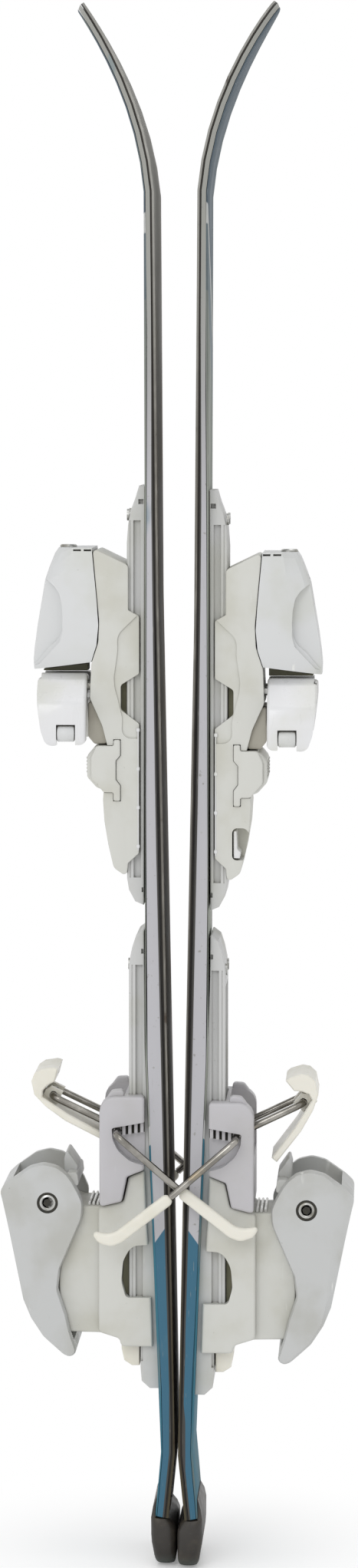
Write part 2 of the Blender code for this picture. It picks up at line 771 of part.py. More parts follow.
def brake_housing():
    """Moulded block that carries the brake's axle, just ahead of the heel carriage."""
    outline = [
        (16.8, -1.6), (16.8, 53.2), (14.3, 59.2), (10.3, 63.2), (-9.3, 63.2), (-9.3, 20.2),
        (0.7, 16.2), (3.8, 1.6),
    ]
    body = prism(on_heel(outline), -BRAKE_HOUSING_HALF, BRAKE_HOUSING_HALF, chamfer=1.0)
    recess = on_heel([
        (-11.2, 45.4), (7.6, 42.8 + WIRE_RADIUS), (9.4, 40), (6.6, 35.2), (-4.1, 19.8), (-11.2, 17.2),
    ])
    x, z = axle()
    hole = WIRE_RADIUS + GAP
    half = BRAKE_HOUSING_HALF + 1
    slot_y = (-BRAKE_SLOT_HALF, BRAKE_SLOT_HALF)
    return carve(
        body,
        rail_channel(REAR_FACE, REAR_RAIL),
        box((REAR_FACE + 2.3, REAR_FACE + 30), slot_y, (HEEL_Z + 30.2, HEEL_Z + 70)),
        prism(recess, RECESS_FLOOR, half),
        prism(recess, -half, -RECESS_FLOOR),
        rod((x, -half, z), (x, half, z), hole, 12),
    )


def axle():
    return REAR_FACE + AXLE[0], HEEL_Z + AXLE[1]


def on_arm(along, off, angle=ARM_ANGLE):
    """Point at a distance from the brake's axle and to the side of that direction."""
    x, z = axle()
    c, s = cos(radians(angle)), sin(radians(angle))
    return x + along * c + off * s, z + along * s - off * c


def bent(corners, radius, steps=4):
    """Path with its corners rounded to one bend radius."""
    path = [Vector(corners[0])]
    for before, here, after in zip(corners, corners[1:], corners[2:]):
        here = Vector(here)
        back = (Vector(before) - here).normalized()
        ahead = (Vector(after) - here).normalized()
        half = back.angle(ahead) / 2
        centre = here + (back + ahead).normalized() * radius / sin(half)
        first = here + back * radius / tan(half) - centre
        last = here + ahead * radius / tan(half) - centre
        sweep = pi - 2 * half
        for k in range(steps + 1):
            share = k / steps
            path.append(centre + (first * sin((1 - share) * sweep) + last * sin(share * sweep)) / sin(sweep))
    path.append(Vector(corners[-1]))
    return path


def brake_wire():
    """One bent wire: arm, axle, leg, crossbar, leg, axle, arm."""
    x, z = axle()
    bar_x, bar_z = crossbar()
    step_x, step_z = on_arm(TIP_START - GAP, 0)
    half = [(step_x, ARM_PLANE, step_z), (x, ARM_PLANE, z), (x, LEG_PLANE, z), (bar_x, LEG_PLANE, bar_z)]
    corners = half + [(px, -py, pz) for px, py, pz in reversed(half)]
    middle = bent(corners, BEND_RADIUS)
    ends = [on_arm(ARM_LENGTH, 0), on_arm(TIP_START - GAP + 0.05, 0)]
    first = [(px, ARM_PLANE, pz) for px, pz in ends]
    last = [(px, -ARM_PLANE, pz) for px, pz in reversed(ends)]
    radii = [SPIGOT_RADIUS] * 2 + [WIRE_RADIUS] * len(middle) + [SPIGOT_RADIUS] * 2
    return tube(first + middle + last, radii, 2)


def crossbar():
    return on_arm(LEG_LENGTH, 0, LEG_ANGLE)


def brake_tip():
    """Plastic tip on the end of a brake arm, in the plane of the arm's wire."""
    blade = [
        (TIP_START, -3.5), (88, -1.8), (94, 0.4), (98.8, 7.5), (98.4, 13.4), (96.2, 14.2),
        (92, 8.8), (87, 5.6), (TIP_START, 3.5),
    ]
    blade = [on_arm(a, n) for a, n in blade]
    body = prism(blade, -TIP_THICKNESS_HALF, TIP_THICKNESS_HALF, chamfer=0.5)
    x0, z0 = on_arm(TIP_START - 2, 0)
    x1, z1 = on_arm(ARM_LENGTH + GAP, 0)
    return carve(body, rod((x0, 0, z0), (x1, 0, z1), SPIGOT_RADIUS + GAP, 12))


def brake_pedal():
    """Pedal plate that the boot presses, clipped on the wire's crossbar by two C hooks."""
    outer = [
        (7, 9.9), (30, 9.3), (44, 6.8), (53, 3.3), (58, -3), (58.3, -8), (56, -12), (50, -16), (47, -16.5),
    ]
    inner = [(45.6, -9), (48.4, -5), (49.6, -1), (48.2, 2.5), (30, 5), (7, 6)]
    plate = [on_arm(a, n, LEG_ANGLE) for a, n in outer + inner]
    body = prism(plate, -PEDAL_HALF, PEDAL_HALF, chamfer=0.7)
    x, z = crossbar()
    grip = WIRE_RADIUS + GAP
    back, under = -grip - 1.8, -grip - 1.6
    hook = [(back, 6), (5.5, 6), (5.5, -1), (3.5, under), (back, under)]
    hook = [on_arm(LEG_LENGTH + a, n, LEG_ANGLE) for a, n in hook]
    hooks = [prism(hook, low, low + HOOK_WIDTH) for low in (-11.5, 6.5)]
    join(body, *hooks)
    mouth = [(-8, -1.7), (0, -1.7), (0, 1.7), (-8, 1.7)]
    mouth = [on_arm(LEG_LENGTH + a, n, LEG_ANGLE) for a, n in mouth]
    return carve(body, rod((x, -14, z), (x, 14, z), grip, 14), prism(mouth, -14, 14))


def heel_carriage():
    """Moulded body of the heel unit, which slides on the rear rail and carries the pivot's tower."""
    top = [(16.3, -2.2), (3.2, 0.9), (0.1, 15.2), (-9.3, 19.2)]
    levels = [HEEL_Z + 19.2 - 26 * i for i in range(1, 4)] + [HEEL_Z - 84.8]
    inner = [(topsheet_x(z + HEEL_TRAVEL_UP) + GAP - REAR_FACE, z - HEEL_Z) for z in levels]
    foot = [(4.5, -84.8), (4.5, -81.8), (11.8, -78.8), (17.8, -76.3)]
    outline = on_heel(top + inner + foot + [(17.8, -2.8)])
    base = prism(outline, -CARRIAGE_HALF, CARRIAGE_HALF, chamfer=0.8)
    tower = [(11.8, -78.3), (17.8, -76.3), (37.8, -77.2), (40.8, -64.8), (41.3, -44.8), (37.8, -19.8)]
    tower += arc((PIVOT_OUT, 0), BOSS_RADIUS, -60, 110, 10)
    tower += [(33.8, -0.8), (28.8, -2.8), (11.8, -2.8)]
    body = join(base, prism(on_heel(tower), -TOWER_HALF, TOWER_HALF, chamfer=0.6))
    window = [(-16, -55.8), (1.5, -55.8, 2), (4, -48, 2), (4, -33, 4), (0.5, -24.8, 3), (-16, -23.8)]
    pocket = [(0, -86), (7.8, -86), (7.8, -74.3), (0, -74.3)]
    x = REAR_FACE + PIVOT_OUT
    half = CARRIAGE_HALF + 1
    return carve(
        body,
        rail_channel(REAR_FACE, REAR_RAIL),
        prism(on_heel(rounded(window, 2)), -half, half),
        prism(on_heel(pocket), -LOCK_HALF - 0.5, LOCK_HALF + 0.5),
        rod((x, -half, HEEL_Z), (x, half, HEEL_Z), BOLT_RADIUS + GAP, 14),
    )


HEEL_OUTLINE = (
    (-20.3, -6.8), (-20.7, 0), (-18.1, 6.2), (-14.5, 12.6), (-11.1, 17.2), (-5.6, 21.4), (2.4, 23.2),
    (10.4, 21.2), (16.9, 16.7), (22.4, 12.7), (26.7, 8.7), (27.7, 5.7), (26.8, 2.4), (23.2, -13.8),
    (18.8, -35.5), (14.4, -57.2), (9.9, -68.1), (2.8, -78.9), (-3.1, -84.3), (-9.3, -89.7),
    (-13.1, -91.2), (-17, -88.3), (-13, -76.1), (-10.7, -66.1), (-5.8, -51.2), (-7.2, -38.9),
    (-14, -23.5), (-19.8, -9.9),
)
HEEL_BORE = ((12.4, -12.8), (3.9, -62))


def heel_piece():
    """Step-in heel piece: two cheeks, the cup over the boot's heel, the lever and the treadle."""
    body = prism(from_pivot(HEEL_OUTLINE), -HEEL_HALF, HEEL_HALF, chamfer=1.6)
    inside = TOWER_HALF + CUP_CLEARANCE
    cup = [
        (-40, -82), (-7.5, -82), (-4.6, -66), (-4.6, -45), (-1.6, -22), (15.2, -18), (20.2, 3),
        (20.8, 40), (-40, 40),
    ]
    body = carve(body, prism(from_pivot(cup), -inside, inside))
    bar = [(-18.1, 9.2), (-11.6, 9.2, 1.5), (-10.5, 16.2), (-12.2, 17.2), (-17.2, 17.2)]
    spur = [(-16.1, 14.2), (-16.8, 19.4), (-10.1, 29), (-8.6, 23.2), (-9.1, 15), (-12, 12)]
    treadle = prism(from_pivot(rounded(bar)), -inside - 2, inside + 2)
    body = join(body, treadle, prism(from_pivot(spur), -14, 14, chamfer=0.8))
    x = REAR_FACE + PIVOT_OUT
    seat = HEEL_HALF - BOLT_HEAD_HEIGHT - GAP - 0.2
    ends = [(px, 0, pz) for px, pz in from_pivot(HEEL_BORE)]
    cuts = [
        rod(ends[0], ends[1], HEEL_BORE_RADIUS),
        rod((x, -HEEL_HALF - 1, HEEL_Z), (x, HEEL_HALF + 1, HEEL_Z), BOLT_RADIUS + GAP, 14),
        rod((x, seat, HEEL_Z), (x, HEEL_HALF + 1, HEEL_Z), RING_RADIUS),
        rod((x, -HEEL_HALF - 1, HEEL_Z), (x, -seat, HEEL_Z), RING_RADIUS),
    ]
    return carve(body, *cuts)


def heel_pivot_bolt():
    seat = HEEL_HALF - BOLT_HEAD_HEIGHT - 0.2
    profile = (
        (BOLT_HEAD_RADIUS, -seat - BOLT_HEAD_HEIGHT), (BOLT_HEAD_RADIUS, -seat), (BOLT_RADIUS, -seat),
        (BOLT_RADIUS, seat), (BOLT_HEAD_RADIUS, seat), (BOLT_HEAD_RADIUS, seat + BOLT_HEAD_HEIGHT),
    )
    return turned(profile, (REAR_FACE + PIVOT_OUT, 0, HEEL_Z), (0, 1, 0), 14)


def heel_spring():
    top, bottom = (Vector((x, 0, z)) for x, z in from_pivot(HEEL_BORE))
    axis = (top - bottom).normalized()
    start = bottom + axis * (HEEL_SPRING_WIRE + GAP)
    length = (top - bottom).length - 2 * (HEEL_SPRING_WIRE + GAP) - 1
    return coil(start, axis, length, HEEL_SPRING_RADIUS, HEEL_SPRING_WIRE, HEEL_SPRING_CURLS)


def heel_lock_lever():
    """Lever whose tongue locks the heel unit in the rear rail's rack."""
    outline = [
        (-5.9, -97.8), (-1.2, -97.8), (3.3, -94.8), (4.8, -87.8), (4.8, -78.8), (1.3, -76.8),
        (0.4, -80.8), (0.4, -83.3), (-5.9, -84),
    ]
    return prism(on_heel(outline), -LOCK_HALF, LOCK_HALF, chamfer=0.5)


# Finishes


def finish(name, colour, roughness, metallic=0.0):
    """Material of one finish, from a six-digit sRGB colour."""
    material = bpy.data.materials.new(name)
    material.use_nodes = True
    shader = material.node_tree.nodes["Principled BSDF"]
    levels = [int(colour[i:i + 2], 16) / 255 for i in (0, 2, 4)]
    linear = [c / 12.92 if c <= 0.04045 else ((c + 0.055) / 1.055) ** 2.4 for c in levels]
    shader.inputs["Base Color"].default_value = (*linear, 1)
    shader.inputs["Roughness"].default_value = roughness
    shader.inputs["Metallic"].default_value = metallic
    material.diffuse_color = (*linear, 1)
    return material


def base_plastic():
    return finish("base_plastic", "8c8a84", 0.5)


def edge_steel():
    return finish("edge_steel", "5a564e", 0.45, 1.0)


def sidewall_plastic():
    return finish("sidewall_plastic", "b9b8bc", 0.45)


def topsheet_laminate():
    return finish("topsheet_laminate", "7d8688", 0.3)


def black_rubber():
    return finish("black_rubber", "2d2a24", 0.7)


def grey_plastic():
    return finish("grey_plastic", "b8b6b8", 0.45)


def pale_plastic():
    return finish("pale_plastic", "c8c8c6", 0.45)


def white_plastic():
    return finish("white_plastic", "dcdcde", 0.35)


def cream_plastic():
    return finish("cream_plastic", "c6c6bc", 0.5)


def milky_plastic():
    return finish("milky_plastic", "dedace", 0.4)


def plated_steel():
    return finish("plated_steel", "a9a9a6", 0.3, 1.0)


def spring_steel():
    return finish("spring_steel", "6f6e6a", 0.35, 1.0)


# Assembly


def hinge_points():
    """Where the moving pieces turn, in the ski's frame."""
    axle_x, axle_z = axle()
    bar_x, bar_z = crossbar()
    roller_y, roller_z = ROLLER_AT
    return {
        "ski": (0, 0, 0),
        "wing": (FRONT_FACE, PIN_SPACING_HALF, TOE_Z),
        "roller": (FRONT_FACE, roller_y, TOE_Z + roller_z),
        "toe_lever": (FRONT_FACE + 5, 0, TOE_Z - 94.5),
        "screw": bore_point(SCREW_SEAT),
        "brake": (axle_x, 0, axle_z),
        "pedal": (bar_x, 0, bar_z),
        "heel": (REAR_FACE + PIVOT_OUT, 0, HEEL_Z),
        "heel_lock": (REAR_FACE + 2.8, 0, HEEL_Z - 80.3),
    }


def pieces():
    """Every piece of one ski: name, form, finish, hinge point and whether the binding carries it."""
    return (
        ("base", ski_base(), base_plastic(), "ski", False),
        ("steel_edge", steel_edge(), edge_steel(), "ski", False),
        ("core", core(), sidewall_plastic(), "ski", False),
        ("topsheet", topsheet(), topsheet_laminate(), "ski", False),
        ("tail_protector", tail_protector(), black_rubber(), "ski", False),
        ("front_rail", front_rail(), pale_plastic(), "ski", True),
        ("rear_rail", rear_rail(), pale_plastic(), "ski", True),
        ("toe_chassis", toe_chassis(), cream_plastic(), "ski", True),
        ("toe_housing", toe_housing(), white_plastic(), "ski", True),
        ("wing_pin_bridge", wing_pin_bridge(), plated_steel(), "ski", True),
        ("afd_slider", afd_slider(), cream_plastic(), "ski", True),
        ("toe_spring", toe_spring(), spring_steel(), "ski", True),
        ("toe_plunger", toe_plunger(), pale_plastic(), "ski", True),
        ("toe_spring_nut", toe_spring_nut(), pale_plastic(), "ski", True),
        ("toe_adjusting_screw", toe_adjusting_screw(), plated_steel(), "screw", True),
        ("toe_lock_lever", toe_lock_lever(), white_plastic(), "toe_lever", True),
        ("brake_housing", brake_housing(), grey_plastic(), "ski", True),
        ("brake_wire", brake_wire(), plated_steel(), "brake", True),
        ("brake_pedal", brake_pedal(), milky_plastic(), "pedal", True),
        ("heel_carriage", heel_carriage(), cream_plastic(), "ski", True),
        ("heel_piece", heel_piece(), grey_plastic(), "heel", True),
        ("heel_pivot_bolt", heel_pivot_bolt(), plated_steel(), "heel", True),
        ("heel_spring", heel_spring(), spring_steel(), "heel", True),
        ("heel_lock_lever", heel_lock_lever(), milky_plastic(), "heel_lock", True),
    )


def paired_pieces():
    """Pieces that each ski has on both sides: name, forms for +y and -y, finish and hinge point."""
    wing = toe_wing()
    return (
        ("toe_wing", (wing, mirrored(wing)), white_plastic(), "wing"),
        ("wing_roller", (wing_roller(),) * 2, pale_plastic(), "roller"),
        ("brake_tip", (brake_tip(),) * 2, milky_plastic(), "tip"),
    )


def dressed(form, material, origin):
    """Mesh of a form, moved so that its origin is the hinge point, smooth but for its sharp edges."""
    mesh = form.data
    if not mesh.materials:
        mesh.transform(Matrix.Translation(Vector(origin) * -MM))
        mesh.materials.append(material)
        mesh.shade_smooth()
        mesh.set_sharp_from_angle(angle=SMOOTH_ANGLE)
    return mesh


def put(name, mesh, place, parent):
    piece = bpy.data.objects.new(name, mesh)
    piece.location = Vector(place) * MM
    piece.parent = parent
    bpy.context.scene.collection.objects.link(piece)
    return piece


def holder(name, parent=None):
    empty = bpy.data.objects.new(name, None)
    empty.empty_display_size = 0.05
    empty.parent = parent
    bpy.context.scene.collection.objects.link(empty)
    return empty


def build():
    clear_scene()
    points = hinge_points()
    axle_x, axle_z = axle()
    points["tip"] = (axle_x, ARM_PLANE, axle_z)
    singles = pieces()
    pairs = paired_pieces()
    for side, turn, near in (("left", pi, 0), ("right", 0.0, 1)):
        ski = holder(side + "_ski")
        ski.location = Vector((0, SIDE_STEP if turn else -SIDE_STEP, FOOT)) * MM
        ski.rotation_euler.z = turn
        binding = holder(side + "_binding", ski)
        binding.location.z = 0.0 if turn else -BINDING_DROP * MM
        for name, form, material, hinge, on_binding in singles:
            mesh = dressed(form, material, points[hinge])
            piece = put(f"{side}_{name}", mesh, points[hinge], binding if on_binding else ski)
            if name == "brake_pedal" and side == "right":
                piece.rotation_euler.y = -radians(PEDAL_SWING)
        for name, forms, material, hinge in pairs:
            x, y, z = points[hinge]
            for k, form in enumerate(forms):
                across = y if k == 0 else -y
                depth = y if name == "wing_roller" or (name == "toe_wing" and k == 0) else -y
                origin = (x, depth, z)
                if name == "brake_tip":
                    origin = (x, 0, z)
                if name == "wing_roller":
                    origin = (x, 0, 0)
                mesh = dressed(form, material, origin)
                where = "near" if k == near else "far"
                put(f"{side}_{name}_{where}", mesh, (x, across, z), binding)
    for form in [item for item in bpy.data.objects if item.name.startswith("form")]:
        bpy.data.objects.remove(form)


build()
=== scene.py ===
from math import cos, pi, radians, sin, tan

import bmesh
import bpy
from mathutils import Matrix, Vector


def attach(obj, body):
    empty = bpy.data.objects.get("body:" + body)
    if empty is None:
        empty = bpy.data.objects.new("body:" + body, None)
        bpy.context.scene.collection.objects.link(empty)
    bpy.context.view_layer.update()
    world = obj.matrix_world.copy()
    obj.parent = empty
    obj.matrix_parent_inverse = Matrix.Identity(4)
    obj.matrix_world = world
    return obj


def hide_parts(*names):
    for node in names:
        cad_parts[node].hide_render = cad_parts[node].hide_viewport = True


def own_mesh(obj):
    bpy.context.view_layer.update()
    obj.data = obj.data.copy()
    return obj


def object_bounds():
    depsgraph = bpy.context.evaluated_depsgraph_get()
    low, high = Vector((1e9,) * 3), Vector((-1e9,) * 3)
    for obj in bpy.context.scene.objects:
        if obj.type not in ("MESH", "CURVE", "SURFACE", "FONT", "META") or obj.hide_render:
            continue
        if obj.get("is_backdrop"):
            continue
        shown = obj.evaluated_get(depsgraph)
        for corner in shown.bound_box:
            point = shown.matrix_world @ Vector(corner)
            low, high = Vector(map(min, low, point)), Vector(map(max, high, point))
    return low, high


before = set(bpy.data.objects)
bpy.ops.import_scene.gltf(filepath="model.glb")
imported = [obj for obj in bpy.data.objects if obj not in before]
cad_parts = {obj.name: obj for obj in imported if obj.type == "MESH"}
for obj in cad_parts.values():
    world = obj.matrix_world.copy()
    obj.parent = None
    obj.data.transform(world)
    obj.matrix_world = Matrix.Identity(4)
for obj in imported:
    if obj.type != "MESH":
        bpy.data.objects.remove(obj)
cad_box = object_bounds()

scene = bpy.context.scene

# Studio. The pair stands on a plain white floor that fades into a white surround, under a broad
# soft light from the front and above. The camera looks at the skis' side edges, a little from the
# right and from three quarters of their height.

MM = 0.001
BRIGHT_SIDE = (-0.25, -0.85, 0.45)  # where the surround is brightest
FLOOR_GLOW = 0.24  # light of its own, which only the camera sees


def linear(colour):
    """Linear colour of a six-digit sRGB value."""
    levels = [int(colour[i:i + 2], 16) / 255 for i in (0, 2, 4)]
    return (*[c / 12.92 if c <= 0.04045 else ((c + 0.055) / 1.055) ** 2.4 for c in levels], 1)


def node(tree, kind, inputs=None, **settings):
    """One node with its settings; each input is a value, a socket, or the node that feeds it."""
    made = tree.nodes.new(kind)
    for name, value in settings.items():
        setattr(made, name, value)
    for key, value in (inputs or {}).items():
        if isinstance(value, bpy.types.Node):
            value = next(socket for socket in value.outputs if socket.enabled)
        if isinstance(value, bpy.types.NodeSocket):
            tree.links.new(value, made.inputs[key])
        else:
            made.inputs[key].default_value = value
    return made


camera = bpy.data.objects.new("camera", bpy.data.cameras.new("camera"))
camera.data.sensor_fit = "VERTICAL"
camera.data.sensor_height = 36
camera.data.lens = 106.5
camera.location = (0.1178, -2.6974, 0.673)
camera.rotation_euler = (radians(90 - 4.558), 0, radians(2.5))
scene.collection.objects.link(camera)
scene.camera = camera
scene.view_settings.view_transform = "Standard"

world = bpy.data.worlds.new("white_surround")
scene.world = world
world.use_nodes = True
tree = world.node_tree
tree.nodes.clear()
path = node(tree, "ShaderNodeLightPath").outputs
seen = node(tree, "ShaderNodeMath", {0: path["Is Camera Ray"], 1: path["Is Transmission Ray"]},
            operation="MAXIMUM")
seen = node(tree, "ShaderNodeMath", {0: seen, 1: path["Is Glossy Ray"]}, operation="MAXIMUM")
looking = node(tree, "ShaderNodeNewGeometry").outputs["Position"]
toward = node(tree, "ShaderNodeVectorMath", {0: looking, 1: BRIGHT_SIDE}, operation="DOT_PRODUCT")
strength = node(tree, "ShaderNodeMapRange", {
    "Value": toward.outputs["Value"], "From Min": -0.6, "From Max": 1.0, "To Min": 0.22, "To Max": 0.95,
})
soft = node(tree, "ShaderNodeBackground", {"Color": linear("f5f6f7"), "Strength": strength})
white = node(tree, "ShaderNodeBackground", {"Color": (1, 1, 1, 1), "Strength": 1.0})
surround = node(tree, "ShaderNodeMixShader", {0: seen, 1: soft, 2: white})
node(tree, "ShaderNodeOutputWorld", {"Surface": surround})

floor_finish = bpy.data.materials.new("white_studio_floor")
floor_finish.use_nodes = True
tree = floor_finish.node_tree
tree.nodes.clear()
place = node(tree, "ShaderNodeTexCoord").outputs["Object"]
away = node(tree, "ShaderNodeVectorMath", {0: place}, operation="LENGTH").outputs["Value"]
fade = node(tree, "ShaderNodeMapRange", {"Value": away, "From Min": 0.04, "From Max": 0.2},
            interpolation_type="SMOOTHSTEP")
path = node(tree, "ShaderNodeLightPath").outputs
lift = node(tree, "ShaderNodeMath", {0: path["Is Camera Ray"], 1: FLOOR_GLOW}, operation="MULTIPLY")
lit = node(tree, "ShaderNodeAddShader", {
    0: node(tree, "ShaderNodeBsdfPrincipled", {"Base Color": linear("f7f7f7"), "Roughness": 0.4}),
    1: node(tree, "ShaderNodeEmission", {"Color": (1, 1, 1, 1), "Strength": lift}),
})
glow = node(tree, "ShaderNodeEmission", {"Color": (1, 1, 1, 1), "Strength": 1.0})
whitened = node(tree, "ShaderNodeMixShader", {0: fade, 1: lit, 2: glow})
node(tree, "ShaderNodeOutputMaterial", {"Surface": whitened})
floor = bpy.data.objects.new("floor", bpy.data.meshes.new("floor"))
floor.data.from_pydata([(-9, -9, 0), (9, -9, 0), (9, 9, 0), (-9, 9, 0)], [], [(0, 1, 2, 3)])
floor.data.materials.append(floor_finish)
scene.collection.objects.link(floor)
floor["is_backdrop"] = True

# Each lamp's name, place, aim, size and power in watts
for name, spot, aim, size, power in (
    ("front_softbox", (-0.7, -2.0, 1.5), (0, 0, 0.45), (0.9, 1.2), 9.5),
    ("top_softbox", (0.3, -0.3, 2.3), (0, 0, 0.3), (1.4, 1.0), 5.0),
):
    lamp = bpy.data.lights.new(name, "AREA")
    lamp.shape = "RECTANGLE"
    lamp.size, lamp.size_y = size
    lamp.energy = power
    light = bpy.data.objects.new(name, lamp)
    light.location = spot
    light.rotation_euler = (Vector(aim) - Vector(spot)).to_track_quat("-Z", "Y").to_euler()
    scene.collection.objects.link(light)

# Running surface: sintered polyethylene, stone-ground along its length, grey-brown with age.
# It is bonded between the edges. The fine ground structure and scratches run along the ski.
# The two skis are alike, and stand base to base on their tails, each a little to its own side.
# All shapes are drawn in one ski's frame, in millimetres: x outwards from the middle of the
# pair, y across the ski, z up from its tail.

SIDE_STEP = 2.8  # each ski is set this far to its own side, so that the brakes pass each other
BINDING_DROP = 2.5  # the right ski's binding sits this much lower than the left one's
FOOT = 10.0  # the tail protector reaches this far below the ski's own tail
SIDES = ("left", "right")
FRONT_FADE = (0.62, 0.80)  # heights in metres between which the front part turns paler


def stand(side, on_binding=True):
    """From a ski's own frame, or its binding's, to where it stands in the pair."""
    turn = Matrix.Rotation(pi, 4, "Z") if side == "left" else Matrix()
    drop = BINDING_DROP if on_binding and side == "right" else 0.0
    step = SIDE_STEP if side == "left" else -SIDE_STEP
    return Matrix.Scale(MM, 4) @ Matrix.Translation((0, step, FOOT - drop)) @ turn


def finished(side, name, mesh, finish, body, slot, *stands_for, on_binding=True):
    """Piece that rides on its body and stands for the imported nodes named, from a mesh in the ski's frame."""
    mesh.transform(stand(side, on_binding))
    mesh.materials.clear()
    mesh.materials.append(finish)
    made = bpy.data.objects.new(f"{side}_{name}", mesh)
    scene.collection.objects.link(made)
    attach(made, f"{side}_{body}")
    if stands_for:
        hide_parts(*[f"{side}_{packed_name}" for packed_name in stands_for])
    return made


def meshed(form):
    """Mesh of a finished bmesh, with its faces turned outwards."""
    bmesh.ops.recalc_face_normals(form, faces=form.faces)
    mesh = bpy.data.meshes.new("form")
    form.to_mesh(mesh)
    form.free()
    if "custom_normal" in mesh.attributes:
        mesh.attributes.remove(mesh.attributes["custom_normal"])
    return mesh


def packed(side, name, on_binding=True):
    """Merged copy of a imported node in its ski's frame, with its flat faces whole again."""
    form = bmesh.new()
    form.from_mesh(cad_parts[f"{side}_{name}"].data)
    bmesh.ops.transform(form, matrix=stand(side, on_binding).inverted(), verts=form.verts)
    bmesh.ops.remove_doubles(form, verts=form.verts, dist=0.002)
    bmesh.ops.dissolve_limit(form, angle_limit=radians(1.5), verts=form.verts, edges=form.edges)
    return meshed(form)


def smooth(mesh, angle=30):
    """The mesh itself, shaded smooth except over edges sharper than an angle."""
    mesh.shade_smooth()
    mesh.set_sharp_from_angle(angle=radians(angle))
    return mesh


def opened(name):
    """New node material: itself, its tree, its shader and its object coordinates."""
    finish = bpy.data.materials.new(name)
    finish.use_nodes = True
    tree = finish.node_tree
    return finish, tree, tree.nodes["Principled BSDF"], node(tree, "ShaderNodeTexCoord").outputs["Object"]


def patterns(tree, place, *kinds):
    """Mottled patterns, each of a size in millimetres, a detail, and a stretch along z."""
    made = []
    for size, detail, stretch in kinds:
        drawn = node(tree, "ShaderNodeMapping", {"Vector": place, "Scale": (1, 1, 1 / stretch)})
        scale = 1000 / size
        made.append(node(tree, "ShaderNodeTexNoise", {"Vector": drawn, "Scale": scale, "Detail": detail}))
    return made


def tinted(tree, ground, *coats):
    """Ground colour under coats, each a pattern, the two levels that it shows between, and a colour."""
    ground = linear(ground)
    for pattern, low, high, colour in coats:
        share = node(tree, "ShaderNodeMapRange", {"Value": pattern, "From Min": low, "From Max": high},
                     interpolation_type="SMOOTHSTEP")
        ground = node(tree, "ShaderNodeMix", {0: share, 6: ground, 7: linear(colour)}, data_type="RGBA")
    return ground


def dressed(tree, shader, colour, rough, least, most, relief, depth_mm, strength):
    """Feeds a shader its colour, a roughness between two levels, and a relief of a depth."""
    spread = node(tree, "ShaderNodeMapRange", {
        "Value": rough, "From Min": 0.3, "From Max": 0.7, "To Min": least, "To Max": most,
    })
    bump = node(tree, "ShaderNodeBump", {"Height": relief, "Distance": depth_mm * MM, "Strength": strength})
    for name, source in (
        ("Base Color", next(socket for socket in colour.outputs if socket.enabled)),
        ("Roughness", spread.outputs[0]), ("Normal", bump.outputs[0]),
    ):
        tree.links.new(source, shader.inputs[name])


def ski_layer(name, packed_name, finish, slot, marked=None):
    """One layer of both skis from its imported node, with an attribute written on it where asked."""
    for side in SIDES:
        form = smooth(packed(side, packed_name, False))
        form = marked(form) if marked else form
        finished(side, name, form, finish, "ski", slot, packed_name, on_binding=False)


base_finish, tree, shader, place = opened("sintered_polyethylene_base")
patch, grind = patterns(tree, place, (60, 3, 1), (0.9, 3, 33))
height = node(tree, "ShaderNodeSeparateXYZ", {0: place}).outputs["Z"]
tone = tinted(tree, "5f5b54", (patch, 0.4, 0.65, "6e675a"), (height, *FRONT_FADE, "a3a29d"),
              (grind, 0.6, 0.8, "8a867d"))
dressed(tree, shader, tone, patch, 0.6, 0.8, grind, 0.05, 0.4)
shader.inputs["Specular IOR Level"].default_value = 0.15

ski_layer("base_skin", "base", base_finish, "base_plastic")

# Edge: a ground steel strip round the base, dull grey-brown where it has tarnished, with darker
# rust near the tail and fine file marks along it.

CONTACT_Z = 75.0  # where the two bases meet, above the turned-up tails
CONTACT_X = 0.3
TAIL_RISE = 7.5
SPREAD = 11.6  # how much further from the middle the tip's curve starts
CAMBER = 2.7
TIP_CURVE_START = 775.0
TIP_RISE = 0.00277  # how fast the tip curls up, per millimetre


def base_x(z):
    """How far the running surface stands from the middle of the pair."""
    if z < CONTACT_Z:
        return CONTACT_X + TAIL_RISE * ((CONTACT_Z - z) / CONTACT_Z) ** 1.6
    share = min(1.0, (z - CONTACT_Z) / (TIP_CURVE_START - CONTACT_Z))
    x = CONTACT_X + SPREAD * share + CAMBER * (1 - (2 * share - 1) ** 2)
    return x + TIP_RISE * max(0.0, z - TIP_CURVE_START) ** 2


def with_depth(mesh):
    """Writes on each point how far out it is from the running surface, in millimetres."""
    depth = mesh.attributes.new("depth", "FLOAT", "POINT")
    for spot, value in zip(mesh.vertices, depth.data):
        slope = base_x(spot.co.z + 0.5) - base_x(spot.co.z - 0.5)
        value.value = (spot.co.x - base_x(spot.co.z)) / (1 + slope * slope) ** 0.5
    return mesh


edge_finish, tree, shader, place = opened("ground_steel_edge")
rust, streak = patterns(tree, place, (9, 5, 1), (2.2, 4, 8))
height = node(tree, "ShaderNodeSeparateXYZ", {0: place}).outputs["Z"]
depth = node(tree, "ShaderNodeAttribute", attribute_name="depth").outputs["Fac"]
# Beyond 1.2 mm from the running surface the edge is darkened: painted shade where it meets the sidewall
tone = tinted(tree, "6c6963", (streak, 0.45, 0.75, "85827b"), (height, 0.30, 0.12, "4a4434"),
              (height, *FRONT_FADE, "8f8e89"), (rust, 0.62, 0.8, "43362a"), (depth, 1.1, 1.35, "2b2824"))
dressed(tree, shader, tone, rust, 0.4, 0.65, streak, 0.04, 0.3)
shader.inputs["Metallic"].default_value = 0.6

ski_layer("steel_edge_strip", "steel_edge", edge_finish, "edge_steel", with_depth)

# Core and sidewall: a wood core closed by moulded sidewalls, black beside the edge and pale
# lilac-grey above it. They turn greyer at the tip, and teal at the tail from a slanted start.

